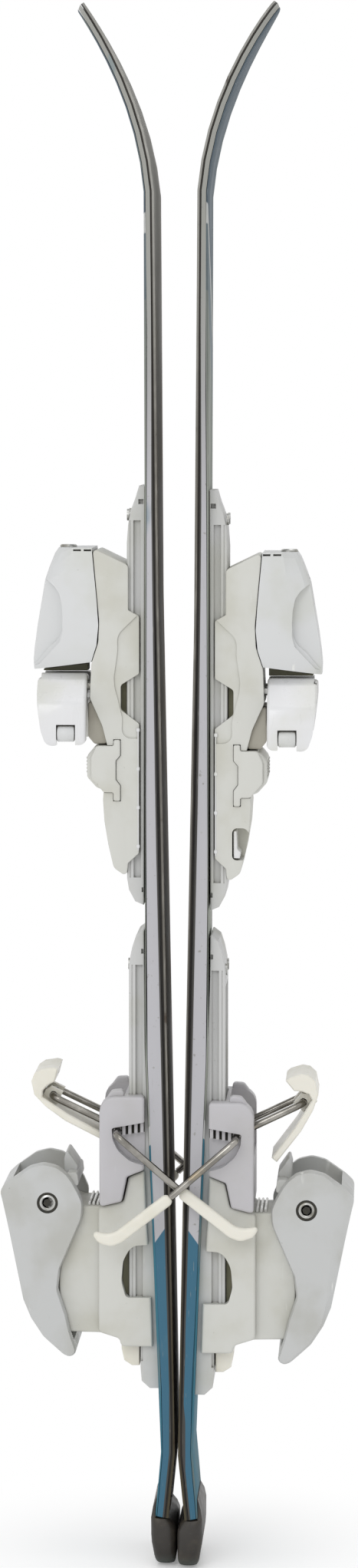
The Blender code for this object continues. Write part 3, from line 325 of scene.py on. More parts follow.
BLACK_LAYER = 3.4  # depth of the black layer's upper side from the running surface
TEAL_START = 190.5  # height where the teal starts beside the black layer
TEAL_SLANT = 1.4  # how much lower it starts per millimetre outwards
TIP_THINNING = 1.4  # how much shallower the black layer is at the tip

sidewall_finish, tree, shader, place = opened("moulded_sidewall")
height = node(tree, "ShaderNodeSeparateXYZ", {0: place}).outputs["Z"]
depth = node(tree, "ShaderNodeAttribute", attribute_name="depth").outputs["Fac"]
patch, dirt, grain = patterns(tree, place, (26, 4, 2.5), (3, 5, 1), (0.7, 3, 16))
thinner = node(tree, "ShaderNodeMapRange", {
    "Value": height, "From Min": 0.62, "From Max": 0.78, "To Max": TIP_THINNING,
})
layer = node(tree, "ShaderNodeMath", {0: depth, 1: thinner}, operation="ADD")
level = node(tree, "ShaderNodeMath", {0: depth, 1: TEAL_SLANT * MM, 2: height}, operation="MULTIPLY_ADD")
start = (TEAL_START + FOOT + TEAL_SLANT * BLACK_LAYER) * MM
tone = tinted(
    tree, "b5b4b8", (height, 0.60, 0.78, "969690"), (dirt, 0.64, 0.78, "8d8b86"),
    (level, start + 0.0004, start - 0.0004, "28617a"), (patch, 0.66, 0.84, "557784"),
    (layer, BLACK_LAYER + 0.15, BLACK_LAYER - 0.15, "35332f"), (grain, 0.66, 0.84, "9a9993"),
)
dressed(tree, shader, tone, patch, 0.34, 0.5, grain, 0.05, 0.35)
shader.inputs["Coat Weight"].default_value = 0.1
shader.inputs["Coat Roughness"].default_value = 0.25

ski_layer("core_sidewall", "core", sidewall_finish, "sidewall", with_depth)

# Topsheet: a printed film under clear lacquer, bonded over the core, with plain slanted fields:
# slate at the tip, grey-green between, and teal at the tail, with a pale stripe at each change.
# The lacquer is scratched and scuffed.

topsheet_finish, tree, shader, place = opened("lacquered_topsheet")
parts = node(tree, "ShaderNodeSeparateXYZ", {0: place}).outputs
lean = node(tree, "ShaderNodeMath", {0: parts["Y"], 1: 0.9, 2: parts["Z"]}, operation="MULTIPLY_ADD")
patch, scratch = patterns(tree, place, (30, 4, 2), (1.2, 2, 25))
tone = tinted(
    tree, "979b92", (lean, 0.60, 0.84, "5e6a72"), (lean, 0.705, 0.706, "707b80"),
    (lean, 0.741, 0.742, "c9cac8"), (lean, 0.752, 0.753, "56626b"), (lean, 0.235, 0.234, "c9cac8"),
    (lean, 0.224, 0.223, "3d7284"), (patch, 0.5, 0.75, "79807a"), (scratch, 0.7, 0.8, "c3c5c2"),
)
dressed(tree, shader, tone, patch, 0.5, 0.7, scratch, 0.03, 0.25)
shader.inputs["Specular IOR Level"].default_value = 0.15

ski_layer("topsheet_film", "topsheet", topsheet_finish, "topsheet")

# Tail protector: a block of black rubber moulded round the tail, with grey dust in its dull parts.
# Its rounded foot, where the ski is stood down, is painted a paler grey-green: a painted reflection of the
# floor.

rubber_finish, tree, shader, place = opened("black_moulded_rubber")
height = node(tree, "ShaderNodeSeparateXYZ", {0: place}).outputs["Z"]
patch, fine = patterns(tree, place, (9, 4, 1), (0.8, 3, 1))
# Painted reflection: the lowest 9 mm are paler grey-green, as the white floor would show in the rounded foot
tone = tinted(tree, "2f2b26", (patch, 0.45, 0.75, "443e35"), (height, 0.009, 0.0, "4c524c"),
              (fine, 0.68, 0.8, "6a675f"))
dressed(tree, shader, tone, patch, 0.4, 0.65, fine, 0.05, 0.3)
shader.inputs["Coat Weight"].default_value = 0.12
shader.inputs["Coat Roughness"].default_value = 0.3


def lofted(rings):
    """Closed mesh through rings of points, each with as many points as the next."""
    form = bmesh.new()
    rows = [[form.verts.new(point) for point in ring] for ring in rings]
    count = len(rows[0])
    for row, following in zip(rows, rows[1:]):
        for i in range(count):
            j = (i + 1) % count
            form.faces.new((row[i], row[j], following[j], following[i]))
    form.faces.new(rows[0])
    form.faces.new(rows[-1])
    return meshed(form)


def rounded(corners, steps=5):
    """Outline whose corners with a third value become arcs of that radius."""
    points = []
    for i, corner in enumerate(corners):
        here = Vector(corner[:2])
        back = Vector(corners[i - 1][:2]) - here
        ahead = Vector(corners[(i + 1) % len(corners)][:2]) - here
        half = back.angle(ahead) / 2
        if len(corner) == 2:
            points.append(tuple(here))
            continue
        if half > radians(88.5):
            reach = min(corner[2], 0.3 * min(back.length, ahead.length))
            ends = here + back.normalized() * reach, here + ahead.normalized() * reach
            points += [tuple(ends[0].lerp(ends[1], k / steps)) for k in range(steps + 1)]
            continue
        radius = min(corner[2], 0.48 * min(back.length, ahead.length) * tan(half))
        back.normalize()
        ahead.normalize()
        centre = here + (back + ahead).normalized() * radius / sin(half)
        first = here + back * radius / tan(half) - centre
        last = here + ahead * radius / tan(half) - centre
        sweep = pi - 2 * half
        for k in range(steps + 1):
            share = k / steps
            spoke = (first * sin((1 - share) * sweep) + last * sin(share * sweep)) / sin(sweep)
            points.append(tuple(centre + spoke))
    return points


for side in SIDES:
    rings = []
    # Each level's height, its side at the base, its side at the topsheet, and half its width
    for z, low, high, half in (
        (-10.0, 3.4, 9.8, 20.0), (-9.6, 2.4, 10.9, 23.0), (-8.5, 1.5, 11.9, 27.0), (-6.5, 0.9, 12.8, 30.4),
        (-4.0, 0.6, 13.4, 32.2), (0.0, 0.5, 14.0, 33.6), (4.0, 0.45, 14.8, 34.2), (9.0, 0.45, 15.2, 34.3),
        (12.5, 0.6, 15.2, 34.3), (16.0, 2.2, 15.2, 34.2), (19.0, 4.8, 15.2, 33.9), (19.4, 12.2, 15.1, 33.2),
        (25.0, 11.8, 14.2, 30.0), (30.0, 11.3, 12.3, 24.0),
    ):
        corners = (low, -half), (high, -half), (high, half), (low, half)
        outline = rounded([(x, y, 0.42 * (high - low)) for x, y in corners], 6)
        rings.append([(x, y, z) for x, y in outline])
    form = smooth(lofted(rings), 50)
    finished(side, "tail_protector_block", form, rubber_finish, "ski", "black_rubber", "tail_protector",
             on_binding=False)

# Rails: moulded of pale grey plastic and screwed to the ski with countersunk steel screws. Each has
# small slots in its flanks near an end, where a cover clips in, and a fine groove along them.


def moulded(name, colour, stain, least=0.38, most=0.6, grain_mm=0.5, gloss=0.0, dirt="7c7a70", wear="e6e6e2"):
    """Injection-moulded plastic: grain of the tool, yellowed patches, dirt specks, scuffs, and painted shade
    in its creases.
    """
    finish, tree, shader, place = opened(name)
    patch, speck, scuff, grain = patterns(tree, place, (34, 4, 1), (2.6, 5, 1), (5, 3, 7), (grain_mm, 2, 1))
    # Painted shade: creases and narrow corners, found by ambient occlusion within 2 mm, are darkened towards
    # the dirt colour
    crease = node(tree, "ShaderNodeAmbientOcclusion", {"Distance": 2.0 * MM}, samples=6).outputs["AO"]
    tone = tinted(tree, colour, (patch, 0.42, 0.7, stain), (scuff, 0.7, 0.8, wear), (speck, 0.71, 0.84, dirt),
                  (crease, 0.62, 0.1, dirt))
    dressed(tree, shader, tone, scuff, least, most, grain, 0.03, 0.25)
    shader.inputs["IOR"].default_value = 1.5
    shader.inputs["Coat Weight"].default_value = gloss
    shader.inputs["Coat Roughness"].default_value = 0.08
    return finish


FRONT_FACE = 29.2  # how far each rail's face stands from the middle of the pair
REAR_FACE = 28.2

# A cool pale grey, nearly matt
rail_finish = moulded("pale_moulded_nylon", "c9c9c8", "c0c0ba")

# Bright zinc plating with duller patches
steel_finish, tree, shader, place = opened("zinc_plated_steel")
patch, brushed = patterns(tree, place, (6, 4, 1), (0.6, 2, 1))
tone = tinted(tree, "b9b9b6", (patch, 0.45, 0.72, "8e8c84"))
dressed(tree, shader, tone, patch, 0.22, 0.42, brushed, 0.02, 0.2)
shader.inputs["Metallic"].default_value = 1.0


def converted(made):
    """Mesh of an object as its modifiers leave it; the modifiers and the object go."""
    bpy.context.view_layer.update()
    result = bpy.data.meshes.new_from_object(made.evaluated_get(bpy.context.evaluated_depsgraph_get()))
    made.modifiers.clear()
    bpy.data.objects.remove(made)
    return result


def with_modifiers(mesh, *steps):
    """Mesh as it is after modifiers, each a kind and its settings."""
    made = bpy.data.objects.new("shape", mesh)
    scene.collection.objects.link(made)
    for kind, settings in steps:
        step = made.modifiers.new(kind.lower(), kind)
        for key, value in settings.items():
            setattr(step, key, value)
    return converted(made)


def softened(mesh, width, segments=3, angle=28):
    """Mesh with its edges rounded as a mould rounds them."""
    return with_modifiers(smooth(mesh, angle), ("BEVEL", {
        "width": width, "segments": segments, "limit_method": "ANGLE", "angle_limit": radians(angle),
        "harden_normals": True, "miter_outer": "MITER_ARC",
    }))


def combined(mesh, others, operation="DIFFERENCE"):
    """Mesh with others taken out of it, or joined to it."""
    tools = []
    for other in others:
        tools.append(bpy.data.objects.new("tool", other))
        scene.collection.objects.link(tools[-1])
    result = with_modifiers(mesh, *[("BOOLEAN", {"object": tool, "operation": operation}) for tool in tools])
    for tool in tools:
        bpy.data.objects.remove(tool)
    return result


PLACES = {"x": lambda a, b, t: (t, a, b), "y": lambda a, b, t: (a, t, b), "z": lambda a, b, t: (a, b, t)}


def prism(outline, low, high, across="y"):
    """Outline carried straight along one axis."""
    return lofted([[PLACES[across](a, b, level) for a, b in outline] for level in (low, high)])


def block(x, y, z):
    """Box between two levels on each axis."""
    return prism(((x[0], z[0]), (x[1], z[0]), (x[1], z[1]), (x[0], z[1])), y[0], y[1])


def tree_of(name, sizes):
    """New geometry tree with its named inputs; returns the tree, its input sockets and identifiers."""
    tree = bpy.data.node_groups.new(name, "GeometryNodeTree")
    tree.interface.new_socket("Geometry", in_out="OUTPUT", socket_type="NodeSocketGeometry")
    tree.interface.new_socket("Geometry", in_out="INPUT", socket_type="NodeSocketGeometry")
    keys = {}
    for label, kind in sizes:
        made = tree.interface.new_socket(label, in_out="INPUT", socket_type="NodeSocket" + kind)
        keys[label] = made.identifier
    return tree, node(tree, "NodeGroupInput").outputs, keys


def closed_tree(tree, geometry, finish):
    """Ends a geometry tree: instances made real, with their finish."""
    real = node(tree, "GeometryNodeRealizeInstances", {0: geometry})
    node(tree, "NodeGroupOutput", {0: node(tree, "GeometryNodeSetMaterial", {0: real, "Material": finish})})


def grown(tree, keys, values, points=((0, 0, 0),)):
    """Mesh that a geometry tree makes from points and named sizes."""
    host = bpy.data.meshes.new("points")
    host.from_pydata(points, [], [])
    made = bpy.data.objects.new("points", host)
    scene.collection.objects.link(made)
    step = made.modifiers.new("tree", "NODES")
    step.node_group = tree
    for label, value in values.items():
        step[keys[label]] = value
    return converted(made)


tree, given, screw_keys = tree_of("countersunk_screws", (
    ("Head Radius", "Float"), ("Head Height", "Float"), ("Recess Width", "Float"), ("Recess Depth", "Float"),
    ("Finish", "Material"),
))
screw_tree = tree
cut = node(tree, "GeometryNodeMeshCone", {
    "Vertices": 28, "Radius Top": given["Head Radius"], "Radius Bottom": given["Head Radius"],
    "Depth": given["Head Height"],
})
arm = node(tree, "ShaderNodeMath", {0: given["Head Radius"], 1: 1.15}, operation="MULTIPLY")
deep = node(tree, "ShaderNodeMath", {0: given["Recess Depth"], 1: 2.0}, operation="MULTIPLY")
up = node(tree, "ShaderNodeCombineXYZ", {2: given["Head Height"]})
for long, wide in ((arm, given["Recess Width"]), (given["Recess Width"], arm)):
    size = node(tree, "ShaderNodeCombineXYZ", {0: long, 1: wide, 2: deep})
    bar = node(tree, "GeometryNodeTransform", {
        0: node(tree, "GeometryNodeMeshCube", {"Size": size}), "Translation": up,
    })
    cut = node(tree, "GeometryNodeMeshBoolean", {0: cut, 1: bar}, operation="DIFFERENCE")
head = node(tree, "GeometryNodeTransform", {0: cut, "Rotation": (0, radians(90), 0)})
heads = node(tree, "GeometryNodeInstanceOnPoints", {"Points": given["Geometry"], "Instance": head})
closed_tree(tree, heads, given["Finish"])

for side in SIDES:
    # Each rail's name, its face, its groove's ends, its slots (x, z) and its screws' seats
    for rail, face, ends, slots, spots in (
        ("front_rail", FRONT_FACE, (395, 602), ((21.0, 612.8), (19.2, 387.9)),
         ((28.3, 12, 605), (28.3, -12, 605))),
        ("rear_rail", REAR_FACE, (112, 344), ((19.5, 352.0),),
         ((27.6, 14, 343.5), (27.6, -14, 343.5), (21.5, 14, 300), (21.5, -14, 300))),
    ):
        cutters = []
        for y in (21.5, -26.5):
            cutters += [block((x - 1.5, x + 1.5), (y, y + 5), (z - 1.4, z + 1.4)) for x, z in slots]
        for y in (24.6, -26.6):
            cutters.append(block((face - 2.2, face - 1.6), (y, y + 2), ends))
        form = softened(combined(packed(side, rail), cutters), 0.4, 2)
        finished(side, rail + "_moulding", form, rail_finish, "ski", "pale_plastic", rail)
        heads = grown(screw_tree, screw_keys, {
            "Head Radius": 3.4, "Head Height": 1.4, "Recess Width": 0.9, "Recess Depth": 0.9,
            "Finish": steel_finish,
        }, spots)
        finished(side, rail + "_screws", smooth(heads), steel_finish, "ski", "plated_steel")

# Toe chassis: the cream plastic base of the toe unit, slid onto the front rail. Each flank has a
# shallow step, and a thin white clip with small hooks. A ribbed pad under the boot's toe slides
# across it, beside a taupe plinth of painted shade, and a white lever at its foot locks it on the rail.

TOE_Z = 506.0  # height of the wings' pins, from which the toe unit is measured
CHASSIS_HALF = 28.0
AFD_HALF = 30.0  # half the width of the sliding pad
RAIL_HALF = 25.0
RAIL_NECK_HALF = 22.0
RAIL_HEAD = 3.8
RAIL_NECK = 4.2
GAP = 0.3  # running clearance between a rail and the lips round it

# A warm off-white, nearly matt, greyer in its patches
chassis_finish = moulded("cream_moulded_nylon", "cecec8", "c4c3b9", 0.4, 0.62)

# The whitest plastic here, with a clear gloss
white_finish = moulded("white_gloss_polyacetal", "dededf", "d6d6d0", 0.24, 0.4, 0.7, gloss=0.4)

# A dull brown-grey: painted shade, on a plinth put where the toe unit lies in shade
painted_shade_taupe_finish = moulded("taupe_painted_shade_nylon", "a8a498", "969084", 0.5, 0.7)


def joined(meshes):
    """One mesh of several bodies."""
    form = bmesh.new()
    for mesh in meshes:
        form.from_mesh(mesh)
    result = bpy.data.meshes.new("joined")
    form.to_mesh(result)
    form.free()
    return result


def mirrored(mesh):
    """Copy of a mesh on the other side of the ski."""
    other = mesh.copy()
    other.transform(Matrix.Scale(-1, 4, (0, 1, 0)))
    other.flip_normals()
    return other


def inset(outline, distance):
    """Outline with its corners' radii, drawn in by a distance."""
    points = []
    pairs = [(outline[i - 1], outline[i]) for i in range(len(outline))]
    turn = 1 if sum(a[0] * b[1] - b[0] * a[1] for a, b in pairs) > 0 else -1
    for i in range(len(outline)):
        here = Vector(outline[i][:2])
        ahead = (Vector(outline[(i + 1) % len(outline)][:2]) - here).normalized()
        back = (here - Vector(outline[i - 1][:2])).normalized()
        out_ahead = Vector((ahead.y, -ahead.x)) * turn
        out_back = Vector((back.y, -back.x)) * turn
        middle = (out_ahead + out_back).normalized()
        spot = here - middle * distance / max(0.5, middle.dot(out_ahead))
        bend = distance if back.cross(ahead) * turn > 0 else -distance
        points.append((*spot, *[max(0.04, radius - bend) for radius in outline[i][2:]]))
    return points


def moulding(outline, low, high, rim, across="y", steps=4):
    """Outline carried along one axis, with its corners and both its rims rounded."""
    rows = []
    for k in range(steps + 1):
        angle = pi / 2 * k / steps
        rows.append((rounded(inset(outline, rim * (1 - sin(angle)))), rim * (1 - cos(angle))))
    near = [[PLACES[across](a, b, low + depth) for a, b in drawn] for drawn, depth in rows]
    far = [[PLACES[across](a, b, high - depth) for a, b in drawn] for drawn, depth in reversed(rows)]
    return lofted(near + far)


def at(face, z, outline):
    """Outline measured from a rail's face and a height, in the ski's frame; radii are kept."""
    return [(corner[0] + face, corner[1] + z, *corner[2:]) for corner in outline]


def channel(face, low, high):
    """Cutter that leaves a unit's lips round its rail."""
    foot, neck, head = RAIL_HALF + 0.8, RAIL_NECK_HALF + GAP, RAIL_HALF + GAP
    under, over = face - RAIL_HEAD - RAIL_NECK + GAP, face - RAIL_HEAD - GAP
    half = [(-5, foot), (under, foot), (under, neck), (over, neck), (over, head), (face + GAP, head)]
    return prism(half + [(x, -y) for x, y in reversed(half)], low, high, across="z")


tree, given, rib_keys = tree_of("ribs_in_a_row", (
    ("Count", "Int"), ("Step", "Vector"), ("Size", "Vector"), ("Finish", "Material"),
))
rib_tree = tree
line = node(tree, "GeometryNodeMeshLine", {"Count": given["Count"], "Offset": given["Step"]}, mode="OFFSET")
rib = node(tree, "GeometryNodeMeshCube", {"Size": given["Size"]})
ribs = node(tree, "GeometryNodeInstanceOnPoints", {"Points": line, "Instance": rib})
closed_tree(tree, ribs, given["Finish"])


def rib_row(start, step, size, count, finish, bevel=0.15):
    """Row of rounded ribs in the ski's frame, from the middle of the first one."""
    mesh = grown(rib_tree, rib_keys, {"Count": count, "Step": step, "Size": size, "Finish": finish})
    mesh.transform(Matrix.Translation(start))
    form = bmesh.new()
    form.from_mesh(mesh)
    bmesh.ops.bevel(form, geom=form.edges, offset=bevel, segments=2, affect="EDGES", clamp_overlap=True)
    return smooth(meshed(form), 40)


AFD_OUTLINE = (
    (3.7, -66.1), (7.6, -66.1), (7.6, -61.2), (13.5, -61.2), (17.7, -58.5), (22.3, -53.9), (23, -51),
    (23, -40), (19, -35.4), (14.8, -34.2), (7.5, -34.2), (7.5, -30.7), (3.7, -30.7), (3.7, -39.8),
    (6.3, -42.8), (6.3, -53.8), (3.7, -57.2),
)

for side in SIDES:
    outline = at(FRONT_FACE, TOE_Z, (
        (0, -110.4, 2), (7.6, -105.2, 5), (10.8, -91.3, 30), (13, -78, 20), (13.8, -65.5, 5),
        (11.2, -34.3, 2), (14.3, -22.3, 20), (21.4, -6.7, 6), (20.5, 13, 10), (16.5, 25.8, 10),
        (16, 38.2, 20), (19.8, 80.2, 2), (-0.9, 70.2, 3), (-0.9, 44.3, 1), (-7.1, 40.8, 2), (-7.1, 7.5, 1.5),
        (3.6, 0.9, 2.5), (3.6, -13.4, 3), (-7.1, -21.5, 1.5), (-7.1, -96.6, 2), (-0.7, -102.4, 2),
    ))
    body = moulding(outline, -CHASSIS_HALF, CHASSIS_HALF, 0.5)
    slot = inset(at(FRONT_FACE, TOE_Z, AFD_OUTLINE), -0.3)
    window = rounded(at(FRONT_FACE, TOE_Z, (
        (2.9, -97.5, 2.5), (12.6, -97.5, 3), (12.6, -78.8, 4), (2.9, -78.8, 3),
    )))
    crease = at(FRONT_FACE, TOE_Z, (
        (3.1, -30), (2.6, -18.1), (5.1, -7.5), (7, -0.8), (7.5, 5.4), (6.1, 14.7), (5.3, 21.4), (5.6, 30),
        (-9, 44), (-9, -30),
    ))
    step = prism(rounded([(x, z, 12) for x, z in crease[:8]] + crease[8:]), 26.9, 30)
    body = combined(body, [
        channel(FRONT_FACE, 350, 650), prism(slot, -AFD_HALF, AFD_HALF), prism(window, -29, -4), step,
        mirrored(step),
    ])
    finished(side, "toe_chassis_moulding", softened(body, 0.5, 2, 35), chassis_finish, "toe_unit",
             "cream_plastic", "toe_chassis")
    # The plinth is a block of painted shade, set between the wings where light does not reach
    plinth = at(FRONT_FACE, TOE_Z, (
        (10.5, -33.4, 2), (13.4, -23, 3), (19.6, -9, 2), (22.7, -9, 2), (22.7, -29, 3), (19, -33.4, 2),
    ))
    plinth = smooth(moulding(plinth, -24.5, 24.5, 1.2))
    finished(side, "toe_painted_shade_plinth", plinth, painted_shade_taupe_finish, "toe_unit", "cream_plastic")
    hooks = []
    for across in (CHASSIS_HALF - 0.1, 0.1 - CHASSIS_HALF):
        hooks.append(softened(block((22.2, 22.9), (across - 0.5, across + 0.5), (411, 482)), 0.15, 2))
        hooks.append(rib_row((22.6, across, 413.5), (0, 0, 22.5), (1.9, 1.3, 2.2), 4, white_finish, 0.3))
    finished(side, "toe_chassis_clips", smooth(joined(hooks)), white_finish, "toe_unit", "white_plastic")
    inner = at(FRONT_FACE, TOE_Z, (
        (3.7, -66.1, 1), (7.6, -66.1, 1), (7.6, -61.2, 1), (13.2, -61.2, 2), (20.6, -53, 4), (20.6, -40.5, 4),
        (17.6, -34.2, 2), (7.5, -34.2, 1), (7.5, -30.7, 1), (3.7, -30.7, 1), (3.7, -39.8, 1), (6.3, -42.8, 1),
        (6.3, -53.8, 1), (3.7, -57.2, 1),
    ))
    outer = at(FRONT_FACE, TOE_Z, (
        (12, -60.6, 2), (17.7, -58.5, 4), (23.1, -52.5, 3), (23.1, -40, 5), (19, -35.2, 3), (12, -34.8, 2),
    ))
    pad = combined(moulding(inner, -AFD_HALF, AFD_HALF, 0.8), [moulding(outer, -26.6, 26.6, 1.4)], "UNION")
    ribs = rib_row((52.3, 0, 456.5), (0, 0, 2.0), (0.9, 48, 0.9), 5, chassis_finish)
    finished(side, "afd_slider_pad", softened(pad, 0.25, 2, 40), chassis_finish, "afd", "cream_plastic",
             "afd_slider")
    finished(side, "afd_slider_ribs", ribs, chassis_finish, "afd", "cream_plastic")
    finished(side, "toe_lock_lever_moulding", softened(packed(side, "toe_lock_lever"), 0.5), white_finish,
             "toe_lock", "white_plastic", "toe_lock_lever")

# Toe housing: the white cover over the release spring, clipped to the chassis, with a scooped recess
# in each flank and two narrow slots near its upper end. The setting screw, its nut, the spring and
# the plunger sit in its bore. Olive webs of painted shade close its foot and the notch in the chassis.

# A cool white with a satin sheen, a shade greyer than the wings
housing_finish = moulded("white_satin_nylon", "d2d3d3", "cbccc7", 0.34, 0.5)

# A dark grey-green: painted shade, standing for unlit plastic deep in an opening
painted_shade_olive_finish = moulded("olive_painted_shade_nylon", "6f6d58", "57553f", 0.5, 0.7)

# Dark grey steel with an oily shine, paler where it has rubbed
spring_finish, tree, shader, place = opened("oiled_spring_steel")
patch, fine = patterns(tree, place, (5, 3, 1), (0.4, 2, 1))
dressed(tree, shader, tinted(tree, "5d5c58", (patch, 0.3, 0.7, "84837c")), patch, 0.28, 0.5, fine, 0.02, 0.2)
shader.inputs["Metallic"].default_value = 1.0

tree, given, coil_keys = tree_of("wound_spring", (
    ("Radius", "Float"), ("Wire Radius", "Float"), ("Length", "Float"), ("Turns", "Float"),
    ("Finish", "Material"),
))
coil_tree = tree
helix = node(tree, "GeometryNodeCurveSpiral", {
    "Resolution": 36, "Rotations": given["Turns"], "Start Radius": given["Radius"],
    "End Radius": given["Radius"], "Height": given["Length"],
})
wire = node(tree, "GeometryNodeCurvePrimitiveCircle", {"Resolution": 14, "Radius": given["Wire Radius"]})
wound = node(tree, "GeometryNodeCurveToMesh", {0: helix, 1: wire, "Fill Caps": True})
closed_tree(tree, wound, given["Finish"])


def spring(start, end, radius, wire, turns):
    """Wound spring from one end of its seat to the other."""
    span = Vector(end) - Vector(start)
    mesh = grown(coil_tree, coil_keys, {
        "Radius": radius, "Wire Radius": wire, "Length": span.length, "Turns": turns, "Finish": spring_finish,
    })
    mesh.transform(Matrix.Translation(start) @ span.to_track_quat("Z", "Y").to_matrix().to_4x4())
    form = bmesh.new()
    form.from_mesh(mesh)
    bmesh.ops.remove_doubles(form, verts=form.verts, dist=1e-4)
    return smooth(meshed(form), 60)


SCOOP = (
    (56, 67), (46.5, 61.4), (42, 57.8), (39, 53.4), (37.6, 46.5), (37.2, 39), (37.6, 32.5), (40, 27.2),
    (45.6, 22.4), (52, 14.6), (60, 8),
)
BORE_OUT = 35.3  # the spring bore's axis above the rail's face
TOE_SPRING_ENDS = (21.9, 58.1)  # heights of its seats above the wings' pins

for side in SIDES:
    cutters = []
    for low, high in ((20.4, 24.8), (26.4, 31.0)):
        for y in (23.0, -31.0):
            x = FRONT_FACE + low, FRONT_FACE + high
            cutters.append(block(x, (y, y + 8), (TOE_Z + 78.2, TOE_Z + 79.3)))
    scoop = rounded([(x, z, 8) for x, z in at(FRONT_FACE, TOE_Z, SCOOP)], 4)
    rings = [[(x, 20.6 - 0.16 * (x - FRONT_FACE - 37), z) for x, z in scoop], [(x, 45, z) for x, z in scoop]]
    cutters += [lofted(rings), mirrored(lofted(rings))]
    form = softened(combined(packed(side, "toe_housing"), cutters), 0.4, 3, 24)
    finished(side, "toe_housing_cover", form, housing_finish, "toe_unit", "white_plastic", "toe_housing")
    # Olive webs of painted shade, under the housing and in the chassis's notch
    for name, outline, half, slot in (
        ("toe_housing_painted_shade_underside", ((23.6, 8.4), (49.4, 8.4), (49.4, 9.4), (23.6, 12.6)), 9, "black_rubber"),
        ("toe_chassis_painted_shade_web", ((0.4, -16.4), (3.5, -13.6), (3.5, 1.1), (0.4, 3.2)), 21, "cream_plastic"),
    ):
        web = softened(prism(at(FRONT_FACE, TOE_Z, outline), -half, half), 0.3, 2)
        finished(side, name, web, painted_shade_olive_finish, "toe_unit", slot)
    foot, top = [Vector((FRONT_FACE + BORE_OUT, 0, TOE_Z + up)) for up in TOE_SPRING_ENDS]
    form = spring(foot, top, 6.7, 1.1, 6.5)
    coil = finished(side, "toe_spring_coil", form, spring_finish, "toe_unit", "spring_steel", "toe_spring")
    # The nut travels 8.1 mm of the spring's 36.2 mm, which leaves 0.776 of it
    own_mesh(coil)
    for name, width, finish, body, slot in (
        ("wing_pin_bridge", 0.3, steel_finish, "toe_unit", "plated_steel"),
        ("toe_adjusting_screw", 0.15, steel_finish, "toe_screw", "plated_steel"),
        ("toe_plunger", 0.3, rail_finish, "toe_plunger", "pale_plastic"),
        ("toe_spring_nut", 0.2, rail_finish, "toe_nut", "pale_plastic"),
    ):
        finished(side, name + "_form", softened(packed(side, name), width, 2), finish, body, slot, name)

# Toe wings: glossy white arms that grip the boot's toe, each on its own pin, with a roller in
# the end that lets the boot slip out sideways.

PIN_OUT = 19.0  # how far each pin stands from the middle of the ski
WING_LOW = 23.1
WING_HIGH = 51.9
WING_STEP = 49.8  # the wings are cut down to this height beside the housing
ROLLER_AT = (35.4, -26.6)


def arc(centre, radius, start, end, steps=8):
    """Points on a circle between two angles in degrees."""
    angles = [radians(start + (end - start) * i / steps) for i in range(steps + 1)]
    return [(centre[0] + radius * cos(a), centre[1] + radius * sin(a)) for a in angles]


WING_PLAN = (
    (2.2, 2, 3), (10, 7, 5), (19, 7.6, 6), (25.5, 4, 6), (38.3, -9, 10), (39.5, -20, 20), (39.5, -34.6, 4),
    (31.3, -34.6, 2), *arc((0, -40), 31.3, 20, 86, 12),
)
WING_PROFILE = (
    (22.9, 7.9, 1.5), (51.7, 7.9, 1.5), (52, -2, 30), (50.8, -14, 30), (49.2, -25, 12), (46, -34, 5),
    (36, -33, 6), (22.9, -33.2, 4),
)


def wheel(profile, start, direction, steps=32):
    """Turned solid: radius and distance along the axis, end to end."""
    axis = Vector(direction).normalized()
    out = axis.orthogonal().normalized()
    up = axis.cross(out)
    turn = [2 * pi * i / steps for i in range(steps)]
    return lofted([
        [Vector(start) + axis * along + (out * cos(a) + up * sin(a)) * radius for a in turn]
        for radius, along in profile
    ])


for side in SIDES:
    for sign in (1, -1):
        where = "near" if (sign > 0) == (side == "left") else "far"
        plan = at(0, TOE_Z, WING_PLAN)
        body = moulding(plan, FRONT_FACE + WING_LOW, FRONT_FACE + WING_HIGH, 1.8, across="x")
        profile = prism(rounded(at(FRONT_FACE, TOE_Z, WING_PROFILE), 6), -5, 60)
        body = combined(body, [profile], "INTERSECT")
        body = combined(body, [
            block((FRONT_FACE + WING_STEP, FRONT_FACE + 60), (-2, 24.5), (TOE_Z - 50, TOE_Z + 20)),
            block((FRONT_FACE + 29.2, FRONT_FACE + 40.2), (30.0, 46), (TOE_Z - 48, TOE_Z - 21.4)),
            wheel(((2.8, 0), (2.8, 70)), (FRONT_FACE, PIN_OUT, TOE_Z), (1, 0, 0), 16),
        ])
        body = softened(body, 0.7, 3, 30)
        tread = wheel((
            (1.5, -1.3), (1.5, 0), (4.3, 0.1), (4.8, 0.6), (4.8, 9.4), (4.3, 9.9), (1.5, 10), (1.5, 11.3),
        ), (FRONT_FACE + 29.7, ROLLER_AT[0], TOE_Z + ROLLER_AT[1]), (1, 0, 0), 28)
        if sign < 0:
            body, tread = mirrored(body), mirrored(tread)
        wing, roller = "toe_wing_" + where, "wing_roller_" + where
        finished(side, wing + "_moulding", body, white_finish, wing, "white_plastic", wing)
        finished(side, roller + "_turned", smooth(tread, 50), housing_finish, roller, "pale_plastic", roller)

# Brake housing: the grey block that carries the brake's axle. In each flank is a curved recess
# that the wire comes out of, with thin ribs above the wire and a black sheet of painted shade behind them for
# the gaps between them.

HEEL_Z = 204.8  # height of the heel piece's bolt, from which the heel unit is measured
AXLE = (REAR_FACE + 6.4, HEEL_Z + 42.2)  # the brake's axle, out from the ski and up
BRAKE_HOUSING_HALF = 35.0

# A cool mid grey with a satin sheen
grey_finish = moulded("grey_moulded_nylon", "bebcbf", "b8b6b6", 0.34, 0.5)

# Nearly black and matt, with a brownish mottle: painted shade for deep gaps and recesses
painted_shade_black_finish, tree, shader, place = opened("painted_shade_in_slot")
fine, grain = patterns(tree, place, (1.5, 3, 1), (0.4, 2, 1))
dressed(tree, shader, tinted(tree, "1f1e1a", (fine, 0.3, 0.7, "3a382f")), fine, 0.6, 0.9, grain, 0.05, 0.3)

